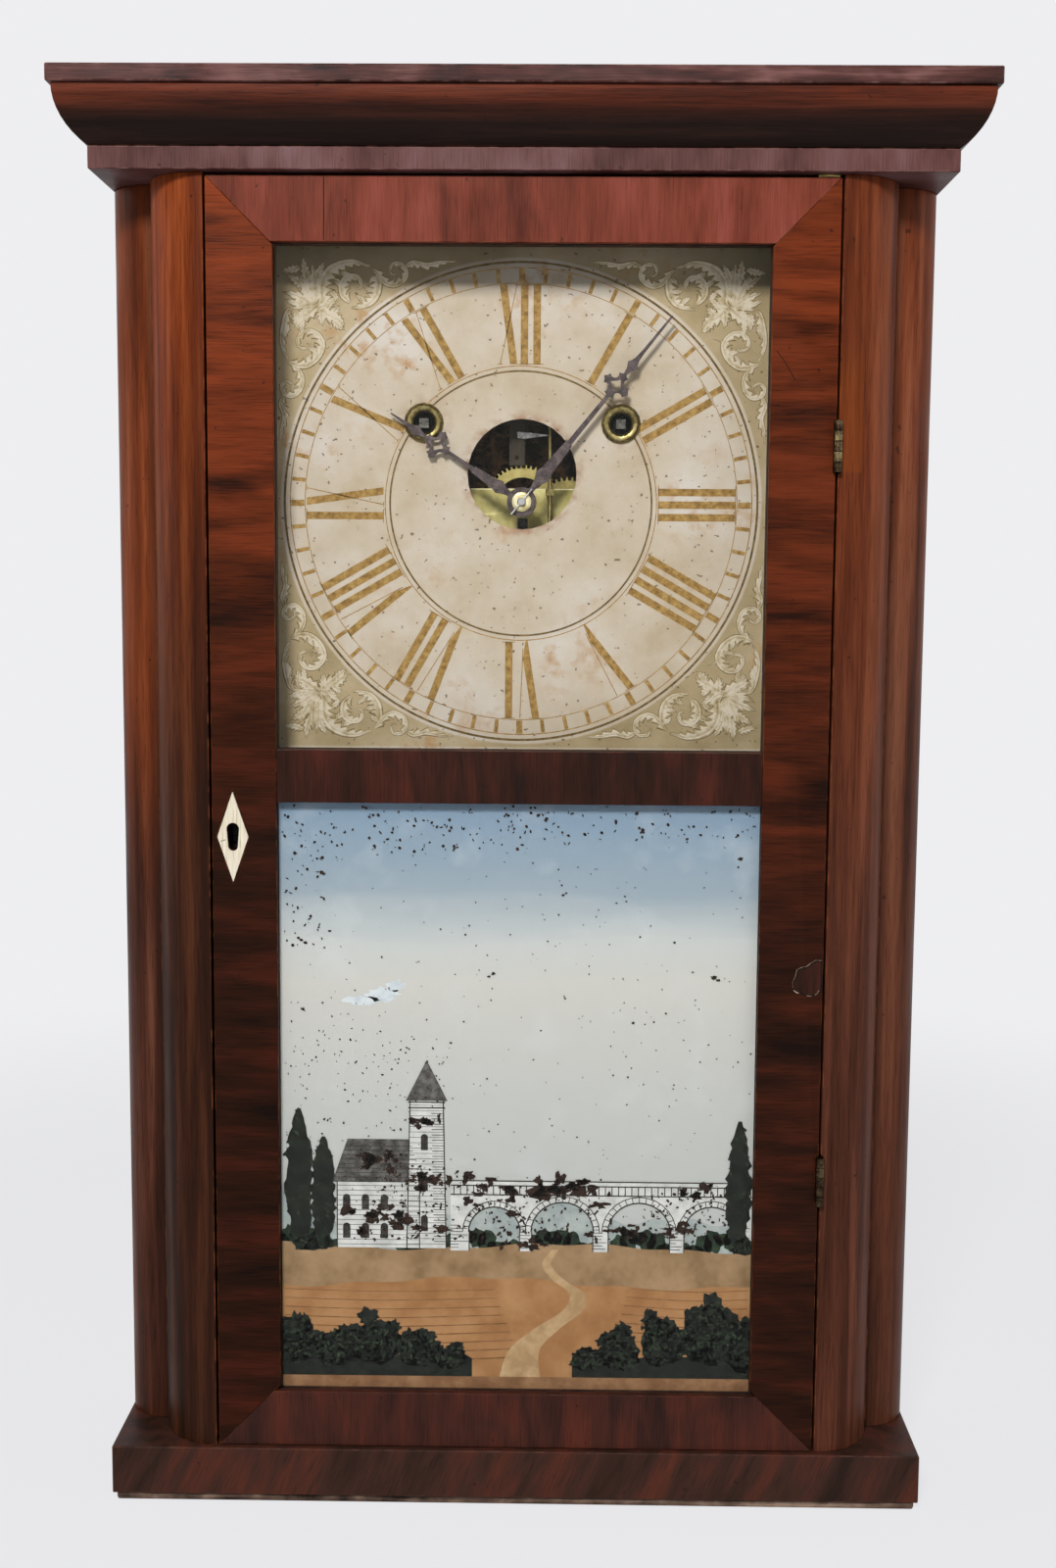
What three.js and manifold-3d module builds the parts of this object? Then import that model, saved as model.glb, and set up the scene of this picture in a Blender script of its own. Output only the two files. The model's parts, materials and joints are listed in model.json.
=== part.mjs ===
// A column-and-cornice shelf clock: a veneered case with a glazed door, a painted dial,
// and an eight-day spring movement with a pendulum, two trains and a gong.
// Millimetres, +Z up, the clock faces -Y, origin at the middle of the base.
import * as THREE from "three";
import { mergeVertices } from "three/addons/utils/BufferGeometryUtils.js";
import Module from "manifold-3d";

const wasm = await Module();
wasm.setup();

// Case sizes
const overallDepth = 130;
const skidHeight = 4;
const skidInset = 1.6;
const plinthHeight = 22.4;
const plinthProud = 2.8;
const bodyHeight = 568.9;
const friezeThickness = 9.5;
const friezeProud = 4.1;
const mouldingHeight = 22.9;
const mouldingProjection = 12;
const mouldingThickness = 22;
const topThickness = 7.3;
const topOverhang = 13.9;
const backThickness = 8;
const sideThickness = 16;
const sideRound = 20.5;
const columnWidth = 27;
const columnDepth = 25;
const columnShadow = 0.5;
const columnStep = 1.2;
const jambThickness = 12;
const jambReach = 9;

// Door sizes
const doorWidth = 272;
const doorThickness = 20;
const doorSideGap = 1;
const doorBottomGap = 0.5;
const doorTopGap = 1.6;
const stileWidth = 28.7;
const topRailWidth = 27.4;
const middleRailWidth = 23.5;
const bottomRailWidth = 25.6;
const upperOpeningHeight = 218.4;
const lipThickness = 3.5;
const rebateWidth = 5;
const glassThickness = 2.2;
const glassPlay = 0.4;
const beadDepth = 6;
const mitreGap = 0.15;

// Hinge and lock sizes
const hingeLength = 22;
const upperHingeDrop = 112.8;
const lowerHingeRise = 128;
const knuckleRadius = 1.9;
const knuckleCount = 5;
const knuckleGap = 0.3;
const hingePinRadius = 0.8;
const leafThickness = 0.9;
const leafDepth = 12;
const lockRise = 281.9;
const lockWidth = 18;
const lockTall = 34;
const lockDepth = 7;
const lockWall = 1.5;
const keyholeInset = 9.3;
const keyholeWidth = 5.6;
const keyholeFootWidth = 4.4;
const keyholeHeight = 12.6;
const escutcheonWidth = 13.8;
const escutcheonHeight = 40.3;
const escutcheonThickness = 1.5;
const escutcheonProud = 0.4;
const boltHeight = 9;
const boltLength = 13;
const boltThrow = 5;

// Dial and hand sizes, measured from the hand centre
const dialCentreDrop = 136.2;
const handRoom = 9;
const dialThickness = 1;
const dialMargin = 8.7;
const dialBelow = 113.5;
const dialAbove = 117.5;
const dialSeat = 4;
const dialRailDepth = 14;
const dialRailTail = 6;
const dialOpeningRadius = 24.5;
const dialOpeningRise = 12.6;
const windingOffset = 44.1;
const windingRise = 35.1;
const grommetRadius = 8.85;
const grommetHeight = 2.2;
const grommetBore = 4.8;
const grommetWall = 0.9;
const minuteHandAngle = 39;
const hourHandAngle = -56.4;
const handThickness = 0.8;
const handBossRadius = 6.6;
const hourHandClearance = 3;
const handSpacing = 2;
const crossReach = 6.9;
const crossBite = 1.9;
const crossBiteAt = 3.7;
const crossBiteFrom = -37.5;
const crossBiteTurn = 195;
const crossBiteSteps = 8;
const crossEye = 3.1;
const crossEyeSide = 1.4;
const washerRadius = 4.4;
const washerThickness = 0.9;
const handPinRadius = 0.5;
const handPinLength = 14.4;
// Half widths of each hand along its length, from the boss to the tip
const minuteHandCross = 66.1;
const minuteHandBlade = [
  [5, 1.3],
  [8, 1.2],
  [11.5, 2],
  [14.9, 3.7],
  [17.5, 2.7],
  [33, 1.8],
  [33.6, 1.25],
  [44, 1.1],
  [60, 0.9],
  [72.5, 0.8],
  [75, 1.25],
  [77.5, 2.7],
  [79, 1.7],
  [81, 1.1],
  [84.5, 0.8],
  [105, 0.45],
];
const hourHandCross = 45.5;
const hourHandBlade = [
  [5, 1.3],
  [7.5, 1.3],
  [9.6, 1.9],
  [12.2, 3.1],
  [14.5, 2.4],
  [26, 1.7],
  [26.6, 1],
  [39.5, 0.8],
  [52, 0.75],
  [54.6, 1.3],
  [57, 2.6],
  [58.6, 1.6],
  [60.4, 1],
  [62.5, 0.75],
  [70.4, 0.35],
];

// Movement sizes
const pendulumRoom = 13;
const plateThickness = 1.6;
const plateGap = 38;
const plateHalfWidth = 64;
const plateTop = 90;
const plateBottom = 44;
const windowHalfWidth = 24.5;
const windowTop = 36;
const strapTop = 6.8;
const strapBottom = 26;
const lowerWindowBottom = 38;
const tongueHalfWidth = 3.6;
const pillarRadius = 3;
const pillarInset = 6;
const tenonRadius = 1.6;
const arborRadius = 1.4;
const pivotRadius = 0.9;
const slimArborRadius = 0.95;
const slimPivotRadius = 0.65;
const handArborRadius = 1.6;
const centrePipeRadius = 3;
const hourPipeRadius = 3.6;
const studRadius = 1.2;
const windingArborRadius = 3.2;
const windingPivotRadius = 2;
const windingSquare = 4.2;
const windingSquareSink = 0.8;
const ratchetRadius = 11;
const ratchetTeeth = 16;
const wheelThickness = 1.6;
const pinionFace = 2.6;
const greatWheelThickness = 2.5;
const springOuterRadius = 20;
const springStrip = 0.6;
const springTurns = 5;
const pendulumLength = 182.5;
const pendulumOffset = 12.5;
const suspensionRise = 64.5;
const suspensionLength = 8;
const suspensionStrip = 0.4;
const suspensionStripWidth = 3;
const rodRadius = 0.9;
const bobRadius = 21;
const bobThickness = 8;
// Half profile of the bob, in shares of its radius and thickness
const bobProfile = [
  [0, 0.5],
  [0.5, 0.42],
  [0.85, 0.24],
  [1, 0.06],
];
const ratingNutRadius = 4;
const ratingNutHeight = 3;
const cockWidth = 6;
const cockHeight = 7;
const cockRise = 2;
const crutchDrop = 58;
const crutchWire = 0.7;
const forkHeight = 3;
const palletReach = 3.1;
const palletSpread = 50;
const palletHalfThickness = 0.8;
const gongRadius = 42;
const gongTurns = 4;
const gongPitch = 6.5;
const gongWire = 1.2;
const gongDrop = 186;
const gongBlockRadius = 7;
const hammerOffset = 46;
const hammerDrop = 30;
const hammerWire = 1.2;
const hammerHubRadius = 3.5;
const hammerHubLength = 4;
const hammerHeadRadius = 5;
const hammerHeadLength = 13;
const hammerLift = 1.3;
const flyHalfWidth = 9;
const flyThickness = 0.6;

// Each mesh of the trains: pinion leaves, wheel teeth and module
const motionFirst = { leaves: 10, teeth: 40, size: 0.92 };
const motionSecond = { leaves: 16, teeth: 48 };
const greatMesh = { leaves: 8, teeth: 48, size: 1.625 };
const centreMesh = { leaves: 12, teeth: 42, size: 0.8 };
const thirdMesh = { leaves: 6, teeth: 60, size: 0.64 };
const escapeMesh = { leaves: 6, teeth: 60, size: 0.57 };
const flyMesh = { leaves: 6, teeth: 48, size: 0.72 };
// Tooth shapes: heights in modules off the pitch line, and half widths in shares of the pitch
const toothTop = 0.8;
const toothRoot = 1.25;
const toothTipShare = 0.09;
const toothRootShare = 0.25;
const leafTop = 0.8;
const leafRoot = 1.15;
const leafTipShare = 0.08;
const leafRootShare = 0.18;
// Crossed-out wheels keep this much below the pitch line, with arms of this width
const rimWidth = 5;
const armWidth = 2.4;
const hubWall = 1.4;
const escapeTeeth = 42;
const escapeTipRadius = 10.5;
const escapeRootRadius = 8.6;
const escapeThickness = 1;
const thirdArborAngle = 97;
const minuteArborAngle = -90;
const flyArborAngle = -125;

// Depth of each layer of the movement behind the face of the front plate
const hourLayer = 2.4;
const minuteLayer = 5.6;
const secondLayer = 15.4;
const countLayer = 18.6;
const ratchetLayer = 18.6;
const greatLayer = 21;
const springLayer = 24.2;
const flyLayer = 25;
const escapeLayer = 27;
const thirdLayer = 31;
const hammerLayer = 33;
const centreLayer = 35;
const springWidth = 12.4;

// Clearances and facets
const fit = 0.3;
const round = 24;
const coarseRound = 16;
const smallRound = 12;
const pivotRound = 8;
const caseRound = 12;
const keyholeRound = 6;

// Levels, widths and depths that follow from the sizes
const columnInner = doorWidth / 2 + doorSideGap;
const caseHalf = columnInner + columnWidth + columnShadow + sideRound;
const doorHalf = doorWidth / 2;
const openingHalf = doorHalf - stileWidth;
const plinthTop = skidHeight + plinthHeight;
const friezeBottom = plinthTop + bodyHeight;
const friezeTop = friezeBottom + friezeThickness;
const topBottom = friezeTop + mouldingHeight;
const friezeFront = -overallDepth / 2 + topOverhang;
const doorFace = friezeFront + friezeProud;
const caseBack = overallDepth / 2;
const backFace = caseBack - backThickness;
const doorBottom = plinthTop + doorBottomGap;
const doorTop = friezeBottom - doorTopGap;
const doorHeight = doorTop - doorBottom;
const middleRailTop = doorHeight - topRailWidth - upperOpeningHeight;
const middleRailBottom = middleRailTop - middleRailWidth;
const hingeMiddles = { upper: doorHeight - upperHingeDrop, lower: lowerHingeRise };
const hingeX = doorHalf + doorSideGap / 2;
const hingeStandOff = knuckleRadius + fit;
const boltThickness = lockDepth - 2 * lockWall - 2 * fit;
const keyholeX = -doorHalf + keyholeInset;
const dialHalfWidth = openingHalf + dialMargin;
const dialFace = doorFace + doorThickness + handRoom;
const handHeight = doorTop - dialCentreDrop;
const dialToPlate = dialThickness + pendulumRoom;
const plateFace = dialFace + dialToPlate;
const backPlate = plateThickness + plateGap;
const movementToBack = backFace - plateFace;
const pendulumPlane = -pendulumRoom / 2;

// Arbor centres (x right, z up) about the hand centre
function meshDistance(mesh) {
  return ((mesh.leaves + mesh.teeth) * mesh.size) / 2;
}
function polar(from, distance, degrees) {
  const angle = THREE.MathUtils.degToRad(degrees);
  return { x: from.x + distance * Math.cos(angle), z: from.z + distance * Math.sin(angle) };
}
// The point at one distance from a and another from b, below the line between them
function reach(a, fromA, b, fromB) {
  const dx = b.x - a.x;
  const dz = b.z - a.z;
  const apart = Math.hypot(dx, dz);
  const along = (fromA ** 2 - fromB ** 2 + apart ** 2) / (2 * apart);
  const off = Math.sqrt(fromA ** 2 - along ** 2);
  return { x: a.x + (dx * along + dz * off) / apart, z: a.z + (dz * along - dx * off) / apart };
}
motionSecond.size = (2 * meshDistance(motionFirst)) / (motionSecond.leaves + motionSecond.teeth);
const handArbor = { x: 0, z: 0 };
const timeGreat = { x: windingOffset, z: windingRise };
const strikeGreat = { x: -windingOffset, z: windingRise };
const second = reach(handArbor, meshDistance(centreMesh), timeGreat, meshDistance(greatMesh));
const count = { x: -second.x, z: second.z };
const minute = polar(handArbor, meshDistance(motionFirst), minuteArborAngle);
const third = polar(handArbor, meshDistance(thirdMesh), thirdArborAngle);
const escapeRise = Math.sqrt(meshDistance(escapeMesh) ** 2 - third.x ** 2);
const escape = { x: 0, z: third.z + escapeRise };
const suspension = { x: pendulumOffset, z: suspensionRise };
const fly = polar(count, meshDistance(flyMesh), flyArborAngle);
const hammer = { x: -hammerOffset, z: -hammerDrop };
const pillarX = plateHalfWidth - pillarInset;
const pillars = [
  { x: -pillarX, z: plateTop - pillarInset },
  { x: pillarX, z: plateTop - pillarInset },
  { x: -pillarX, z: -plateBottom + pillarInset },
  { x: pillarX, z: -plateBottom + pillarInset },
];

// Finishes
function finish(color, roughness, metalness) {
  return new THREE.MeshStandardMaterial({ color, roughness, metalness });
}
const mahogany = () => finish(0x5a2a1a, 0.35, 0);
const darkMahogany = () => finish(0x40211a, 0.45, 0);
const pine = () => finish(0x8a6a48, 0.8, 0);
const dialPaint = () => finish(0xd8cdb8, 0.6, 0);
const paintedGlass = () => finish(0xb9c3c8, 0.15, 0);
const bone = () => finish(0xe8dcc4, 0.4, 0);
const brass = () => finish(0xb08d45, 0.35, 1);
const steel = () => finish(0x8d8f92, 0.35, 1);
const bluedSteel = () => finish(0x2e2a2c, 0.5, 1);
const castIron = () => finish(0x3a3a3a, 0.6, 1);
function clearGlass() {
  const glass = finish(0xcfd8d8, 0.05, 0);
  glass.transparent = true;
  glass.opacity = 0.3;
  return glass;
}

// Points a geometry's faces away from its solid, and merges its shared corners.
function outward(geometry) {
  const bare = geometry.clone();
  bare.deleteAttribute("normal");
  bare.deleteAttribute("uv");
  const merged = mergeVertices(bare, 1e-4);
  const corners = merged.attributes.position;
  const [a, b, c] = [new THREE.Vector3(), new THREE.Vector3(), new THREE.Vector3()];
  const kept = [];
  let volume = 0;
  for (let i = 0; i < merged.index.count; i += 3) {
    const [p, q, r] = [0, 1, 2].map((step) => merged.index.getX(i + step));
    if (p === q || q === r || r === p) continue;
    kept.push([p, q, r]);
    a.fromBufferAttribute(corners, p);
    b.fromBufferAttribute(corners, q);
    c.fromBufferAttribute(corners, r);
    volume += a.dot(b.cross(c));
  }
  merged.setIndex(kept.flatMap(([p, q, r]) => (volume < 0 ? [p, r, q] : [p, q, r])));
  return merged;
}

function solidOf(geometry) {
  const closed = outward(geometry);
  const vertProperties = new Float32Array(closed.attributes.position.array);
  const triVerts = new Uint32Array(closed.index.array);
  return new wasm.Manifold(new wasm.Mesh({ numProp: 3, vertProperties, triVerts }));
}

function geometryOf(solid) {
  const mesh = solid.getMesh();
  const geometry = new THREE.BufferGeometry();
  const corners = new Float32Array(mesh.vertProperties);
  geometry.setAttribute("position", new THREE.BufferAttribute(corners, mesh.numProp));
  geometry.setIndex(new THREE.BufferAttribute(new Uint32Array(mesh.triVerts), 1));
  return geometry;
}

function cut(body, ...tools) {
  return geometryOf(tools.reduce((solid, tool) => solid.subtract(solidOf(tool)), solidOf(body)));
}

function join(...bodies) {
  return geometryOf(bodies.map(solidOf).reduce((solid, other) => solid.add(other)));
}

// Moves each end of an extrusion along one axis to an exact place, so that touching faces agree
function seat(geometry, axis, low, high) {
  const corners = geometry.attributes.position;
  geometry.computeBoundingBox();
  const { min, max } = geometry.boundingBox;
  const middle = (min.getComponent(axis) + max.getComponent(axis)) / 2;
  for (let i = 0; i < corners.count; i += 1) {
    corners.setComponent(i, axis, corners.getComponent(i, axis) < middle ? low : high);
  }
  return geometry;
}

// A box between two corners
function block(x0, x1, y0, y1, z0, z1) {
  const box = new THREE.BoxGeometry(1, 1, 1);
  return seat(seat(seat(box, 0, x0, x1), 1, y0, y1), 2, z0, z1);
}

// A front-view shape (x right, y up) given depth from y0 back to y1
function deep(shape, y0, y1, curveSegments = smallRound) {
  const settings = { depth: 1, bevelEnabled: false, curveSegments };
  return seat(new THREE.ExtrudeGeometry(shape, settings).rotateX(Math.PI / 2), 1, y0, y1);
}

// A plan shape (x right, y back) raised from z0 to z1
function tall(shape, z0, z1, curveSegments) {
  const settings = { depth: 1, bevelEnabled: false, curveSegments };
  return seat(new THREE.ExtrudeGeometry(shape, settings), 2, z0, z1);
}

// Round bars from one depth, height or side to another, about a centre given in the other two
function barAlongY(radius, y0, y1, at = handArbor, segments = smallRound) {
  const bar = new THREE.CylinderGeometry(radius, radius, y1 - y0, segments);
  return bar.translate(at.x, (y0 + y1) / 2, at.z);
}
function barAlongZ(radius, z0, z1, x, y, segments = smallRound) {
  const bar = new THREE.CylinderGeometry(radius, radius, z1 - z0, segments);
  return bar.rotateX(Math.PI / 2).translate(x, y, (z0 + z1) / 2);
}
function barAlongX(radius, x0, x1, y, z, segments = smallRound) {
  const bar = new THREE.CylinderGeometry(radius, radius, x1 - x0, segments);
  return bar.rotateZ(Math.PI / 2).translate((x0 + x1) / 2, y, z);
}

// A solid of revolution about Y from (radius, y) points
function turned(points, segments = round) {
  return outward(new THREE.LatheGeometry(points.map(([r, y]) => new THREE.Vector2(r, y)), segments));
}

function outline(points) {
  return new THREE.Shape(points.map(([x, y]) => new THREE.Vector2(x, y)));
}

function rectangle(x0, x1, y0, y1) {
  return outline([
    [x0, y0],
    [x1, y0],
    [x1, y1],
    [x0, y1],
  ]);
}

function hole(at, radius) {
  return new THREE.Path().absarc(at.x, at.z, radius, 0, 2 * Math.PI, true);
}

function mirrored(geometry) {
  return outward(geometry.clone().scale(-1, 1, 1));
}

const clock = new THREE.Group();
clock.name = "shelf_clock";
const carcase = new THREE.Group();
const door = new THREE.Group();
door.position.set(0, doorFace, doorBottom);
const movement = new THREE.Group();
movement.position.set(0, plateFace, handHeight);
clock.add(carcase, door, movement);

function piece(group, name, geometry, material) {
  const mesh = new THREE.Mesh(outward(geometry), material);
  mesh.name = name;
  group.add(mesh);
  return mesh;
}

// Base: a veneered base board on a thin rough skid board
function addBase() {
  const front = doorFace - plinthProud;
  const skidHalf = caseHalf - skidInset;
  const skid = block(-skidHalf, skidHalf, front + skidInset, caseBack - skidInset, 0, skidHeight);
  piece(carcase, "skid_board", skid, darkMahogany());
  const base = block(-caseHalf, caseHalf, front, caseBack, skidHeight, plinthTop);
  piece(carcase, "base_board", base, mahogany());
}

// Plan of the right side board: a rounded front edge, and a jamb that returns behind the column
function sideBoardPlan() {
  const jambFront = doorFace + columnDepth + fit;
  const roundMiddle = jambFront + columnStep + sideRound;
  const inner = caseHalf - sideThickness;
  const jambInner = columnInner - jambReach;
  const plan = new THREE.Shape();
  plan.moveTo(caseHalf, backFace);
  plan.lineTo(caseHalf, roundMiddle);
  plan.absarc(caseHalf - sideRound, roundMiddle, sideRound, 0, -Math.PI / 2, true);
  plan.lineTo(caseHalf - sideRound, jambFront);
  plan.lineTo(jambInner, jambFront);
  plan.lineTo(jambInner, jambFront + jambThickness);
  plan.lineTo(inner, jambFront + jambThickness);
  plan.lineTo(inner, backFace);
  plan.closePath();
  return plan;
}

// Plan of the right column: a quarter round that starts flush with the door
function columnPlan() {
  const back = doorFace + columnDepth;
  const plan = new THREE.Shape();
  plan.moveTo(columnInner, back);
  plan.lineTo(columnInner, doorFace);
  plan.absellipse(columnInner, back, columnWidth, columnDepth, -Math.PI / 2, 0, false);
  plan.closePath();
  return plan;
}

// The recess for a hinge leaf, from one side of the door gap inwards
function leafSeat(x0, x1, face, middle) {
  const half = hingeLength / 2 + fit;
  return block(x0, x1, face - fit, face + leafDepth + fit, middle - half, middle + half);
}

function addSides() {
  const board = tall(sideBoardPlan(), plinthTop, friezeBottom, caseRound);
  piece(carcase, "right_side_board", board, mahogany());
  piece(carcase, "left_side_board", mirrored(board), mahogany());
  const column = tall(columnPlan(), plinthTop, friezeBottom, caseRound);
  const seats = Object.values(hingeMiddles).map((middle) =>
    leafSeat(columnInner - fit, columnInner + leafThickness + fit, doorFace, doorBottom + middle),
  );
  piece(carcase, "right_column", cut(column, ...seats), mahogany());
  const boltMiddle = doorFace + doorThickness - lockDepth / 2;
  const boltSeat = block(
    -columnInner - boltThrow - fit,
    -columnInner + fit,
    boltMiddle - boltThickness / 2 - fit,
    boltMiddle + boltThickness / 2 + fit,
    doorBottom + lockRise - boltHeight / 2 - fit,
    doorBottom + lockRise + boltHeight / 2 + fit,
  );
  piece(carcase, "left_column", cut(mirrored(column), boltSeat), mahogany());
}

// The back board covers the case and the frieze, and its tongue closes the back of the cornice
function addBack() {
  const tongueHalf = caseHalf - mouldingThickness - fit;
  const board = outline([
    [-caseHalf, plinthTop],
    [caseHalf, plinthTop],
    [caseHalf, friezeTop],
    [tongueHalf, friezeTop],
    [tongueHalf, topBottom],
    [-tongueHalf, topBottom],
    [-tongueHalf, friezeTop],
    [-caseHalf, friezeTop],
  ]);
  piece(carcase, "back_board", deep(board, backFace, caseBack), pine());
}

// A straight length with mitred ends, from (out, up) section points: each end moves with out.
function mitredLength(section, startReach, endReach, startMitre, endMitre) {
  const corners = section.map(([out, up]) => new THREE.Vector2(out, up));
  const caps = THREE.ShapeUtils.triangulateShape(corners, []);
  const size = section.length;
  const points = [];
  for (const [out, up] of section) points.push(-startReach - startMitre * out, out, up);
  for (const [out, up] of section) points.push(endReach + endMitre * out, out, up);
  const index = [];
  for (const [a, b, c] of caps) index.push(a, c, b, size + a, size + b, size + c);
  for (let i = 0; i < size; i += 1) {
    const next = (i + 1) % size;
    index.push(i, next, size + next, i, size + next, size + i);
  }
  const geometry = new THREE.BufferGeometry();
  geometry.setAttribute("position", new THREE.BufferAttribute(new Float32Array(points), 3));
  geometry.setIndex(index);
  return geometry;
}

// Section of the cornice moulding: a convex arc from the frieze that stands upright at its top
function mouldingSection() {
  const rise = mouldingHeight - fit;
  const sweep = 2 * Math.atan2(mouldingProjection, rise);
  const radius = rise / Math.sin(sweep);
  const steps = 8;
  const points = [];
  for (let i = 0; i <= steps; i += 1) {
    const angle = sweep * (1 - i / steps);
    const out = mouldingProjection - radius * (1 - Math.cos(angle));
    points.push([out, rise - radius * Math.sin(angle)]);
  }
  points.push([-mouldingThickness, rise], [-mouldingThickness, 0]);
  return points;
}

function addCornice() {
  const frieze = block(-caseHalf, caseHalf, friezeFront, backFace, friezeBottom, friezeTop);
  piece(carcase, "frieze_board", frieze, mahogany());
  const section = mouldingSection();
  const front = mitredLength(section, caseHalf, caseHalf, 1, 1);
  front.scale(1, -1, 1).translate(0, friezeFront, friezeTop + fit / 2);
  piece(carcase, "cornice_front", front, mahogany());
  const start = friezeFront + mitreGap;
  const side = mitredLength(section, 0, caseBack - start, 1, 0);
  side.rotateZ(Math.PI / 2).scale(-1, 1, 1).translate(caseHalf, start, friezeTop + fit / 2);
  piece(carcase, "cornice_right_return", side, mahogany());
  piece(carcase, "cornice_left_return", mirrored(side), mahogany());
  const topHalf = caseHalf + topOverhang;
  const topFront = friezeFront - topOverhang;
  const top = block(-topHalf, topHalf, topFront, caseBack, topBottom, topBottom + topThickness);
  piece(carcase, "top_board", top, mahogany());
}

// Section of a door frame member, from its outer edge: the rebate behind the lip holds the glass
function frameSection(width) {
  return [
    [0, 0],
    [0, doorThickness],
    [rebateWidth - width, doorThickness],
    [rebateWidth - width, lipThickness],
    [-width, lipThickness],
    [-width, 0],
  ];
}

function keyhole() {
  const head = keyholeWidth / 2;
  const foot = keyholeFootWidth / 2;
  const shape = new THREE.Shape();
  shape.absarc(keyholeX, lockRise + keyholeHeight / 2 - head, head, 0, Math.PI, false);
  shape.absarc(keyholeX, lockRise - keyholeHeight / 2 + foot, foot, Math.PI, 2 * Math.PI, false);
  shape.closePath();
  return shape;
}

function diamond(margin) {
  const wide = escutcheonWidth / 2 + margin;
  const high = escutcheonHeight / 2 + (margin * escutcheonHeight) / escutcheonWidth;
  return outline([
    [keyholeX - wide, lockRise],
    [keyholeX, lockRise - high],
    [keyholeX + wide, lockRise],
    [keyholeX, lockRise + high],
  ]);
}

function addDoorFrame() {
  // A member is drawn along X with its outer edge at 0, then set upright or flat.
  const upright = new THREE.Matrix4();
  upright.set(0, 1, 0, doorHalf, 0, 0, 1, 0, 1, 0, 0, doorHeight / 2, 0, 0, 0, 1);
  const stile = mitredLength(frameSection(stileWidth), doorHeight / 2, doorHeight / 2, 1, 1);
  stile.applyMatrix4(upright);
  const seats = Object.values(hingeMiddles).map((middle) =>
    leafSeat(doorHalf - leafThickness - fit, doorHalf + fit, 0, middle),
  );
  piece(door, "door_right_stile", cut(stile, ...seats), mahogany());
  const lockPocket = block(
    -doorHalf - fit,
    -doorHalf + lockWidth + fit,
    doorThickness - lockDepth - fit,
    doorThickness + fit,
    lockRise - lockTall / 2 - fit,
    lockRise + lockTall / 2 + fit,
  );
  const inlay = deep(diamond(fit), -fit, escutcheonThickness - escutcheonProud);
  const throat = deep(keyhole(), -fit, doorThickness, keyholeRound);
  piece(door, "door_left_stile", cut(mirrored(stile), lockPocket, inlay, throat), mahogany());
  const railReach = doorHalf - mitreGap;
  const above = new THREE.Matrix4();
  above.set(1, 0, 0, 0, 0, 0, 1, 0, 0, 1, 0, doorHeight, 0, 0, 0, 1);
  const topRail = mitredLength(frameSection(topRailWidth), railReach, railReach, 1, 1);
  piece(door, "door_top_rail", topRail.applyMatrix4(above), mahogany());
  const below = new THREE.Matrix4();
  below.set(1, 0, 0, 0, 0, 0, 1, 0, 0, -1, 0, 0, 0, 0, 0, 1);
  const bottomRail = mitredLength(frameSection(bottomRailWidth), railReach, railReach, 1, 1);
  piece(door, "door_bottom_rail", bottomRail.applyMatrix4(below), mahogany());
  const lipHalf = openingHalf - mitreGap;
  const lip = block(-lipHalf, lipHalf, 0, lipThickness, middleRailBottom, middleRailTop);
  const tenonHalf = lipHalf + rebateWidth;
  const tenonBottom = middleRailBottom + rebateWidth;
  const tenonTop = middleRailTop - rebateWidth;
  const tenon = block(-tenonHalf, tenonHalf, lipThickness, doorThickness, tenonBottom, tenonTop);
  piece(door, "door_middle_rail", join(lip, tenon), mahogany());
}

// A pane in its rebate, and the mitred bead that holds it from behind
function addPane(name, beadName, bottom, top, material) {
  const half = openingHalf + rebateWidth - glassPlay;
  const low = bottom - rebateWidth + glassPlay;
  const high = top + rebateWidth - glassPlay;
  const glassBack = lipThickness + glassThickness;
  piece(door, name, block(-half, half, lipThickness, glassBack, low, high), material);
  const bead = rectangle(-half, half, low, high);
  const sight = rectangle(-openingHalf, openingHalf, bottom, top);
  bead.holes.push(new THREE.Path(sight.getPoints().reverse()));
  piece(door, beadName, deep(bead, glassBack, glassBack + beadDepth), darkMahogany());
}

function addGlazing() {
  const upperTop = doorHeight - topRailWidth;
  addPane("upper_glass", "upper_glazing_bead", middleRailTop, upperTop, clearGlass());
  addPane("tablet_glass", "lower_glazing_bead", bottomRailWidth, middleRailBottom, paintedGlass());
}

// One leaf of a butt hinge: its plate in the gap, and every second knuckle on the pin line
function hingeLeaf(plateX0, plateX1, middle, firstKnuckle) {
  const bottom = middle - hingeLength / 2;
  const pitch = (hingeLength + knuckleGap) / knuckleCount;
  const solids = [block(plateX0, plateX1, fit, leafDepth, bottom, bottom + hingeLength)];
  for (let i = firstKnuckle; i < knuckleCount; i += 2) {
    const low = bottom + i * pitch;
    const high = low + pitch - knuckleGap;
    solids.push(barAlongZ(knuckleRadius, low, high, hingeX, -hingeStandOff));
    solids.push(block(plateX0, plateX1, -hingeStandOff, 2 * fit, low, high));
  }
  return solids;
}

function addHinge(place, middle) {
  const bottom = middle - hingeLength / 2;
  const top = middle + hingeLength / 2;
  const caseX = columnInner + fit / 2;
  const pin = barAlongZ(hingePinRadius, bottom, top, hingeX, -hingeStandOff, pivotRound);
  const caseLeaf = hingeLeaf(caseX, caseX + leafThickness, middle, 0);
  piece(door, `${place}_case_hinge_leaf`, join(...caseLeaf, pin), brass());
  const doorX = doorHalf - fit / 2;
  const doorLeaf = join(...hingeLeaf(doorX - leafThickness, doorX, middle, 1));
  const bore = barAlongZ(hingePinRadius + fit, bottom, top, hingeX, -hingeStandOff, pivotRound);
  piece(door, `${place}_door_hinge_leaf`, cut(doorLeaf, bore), brass());
}

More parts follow.
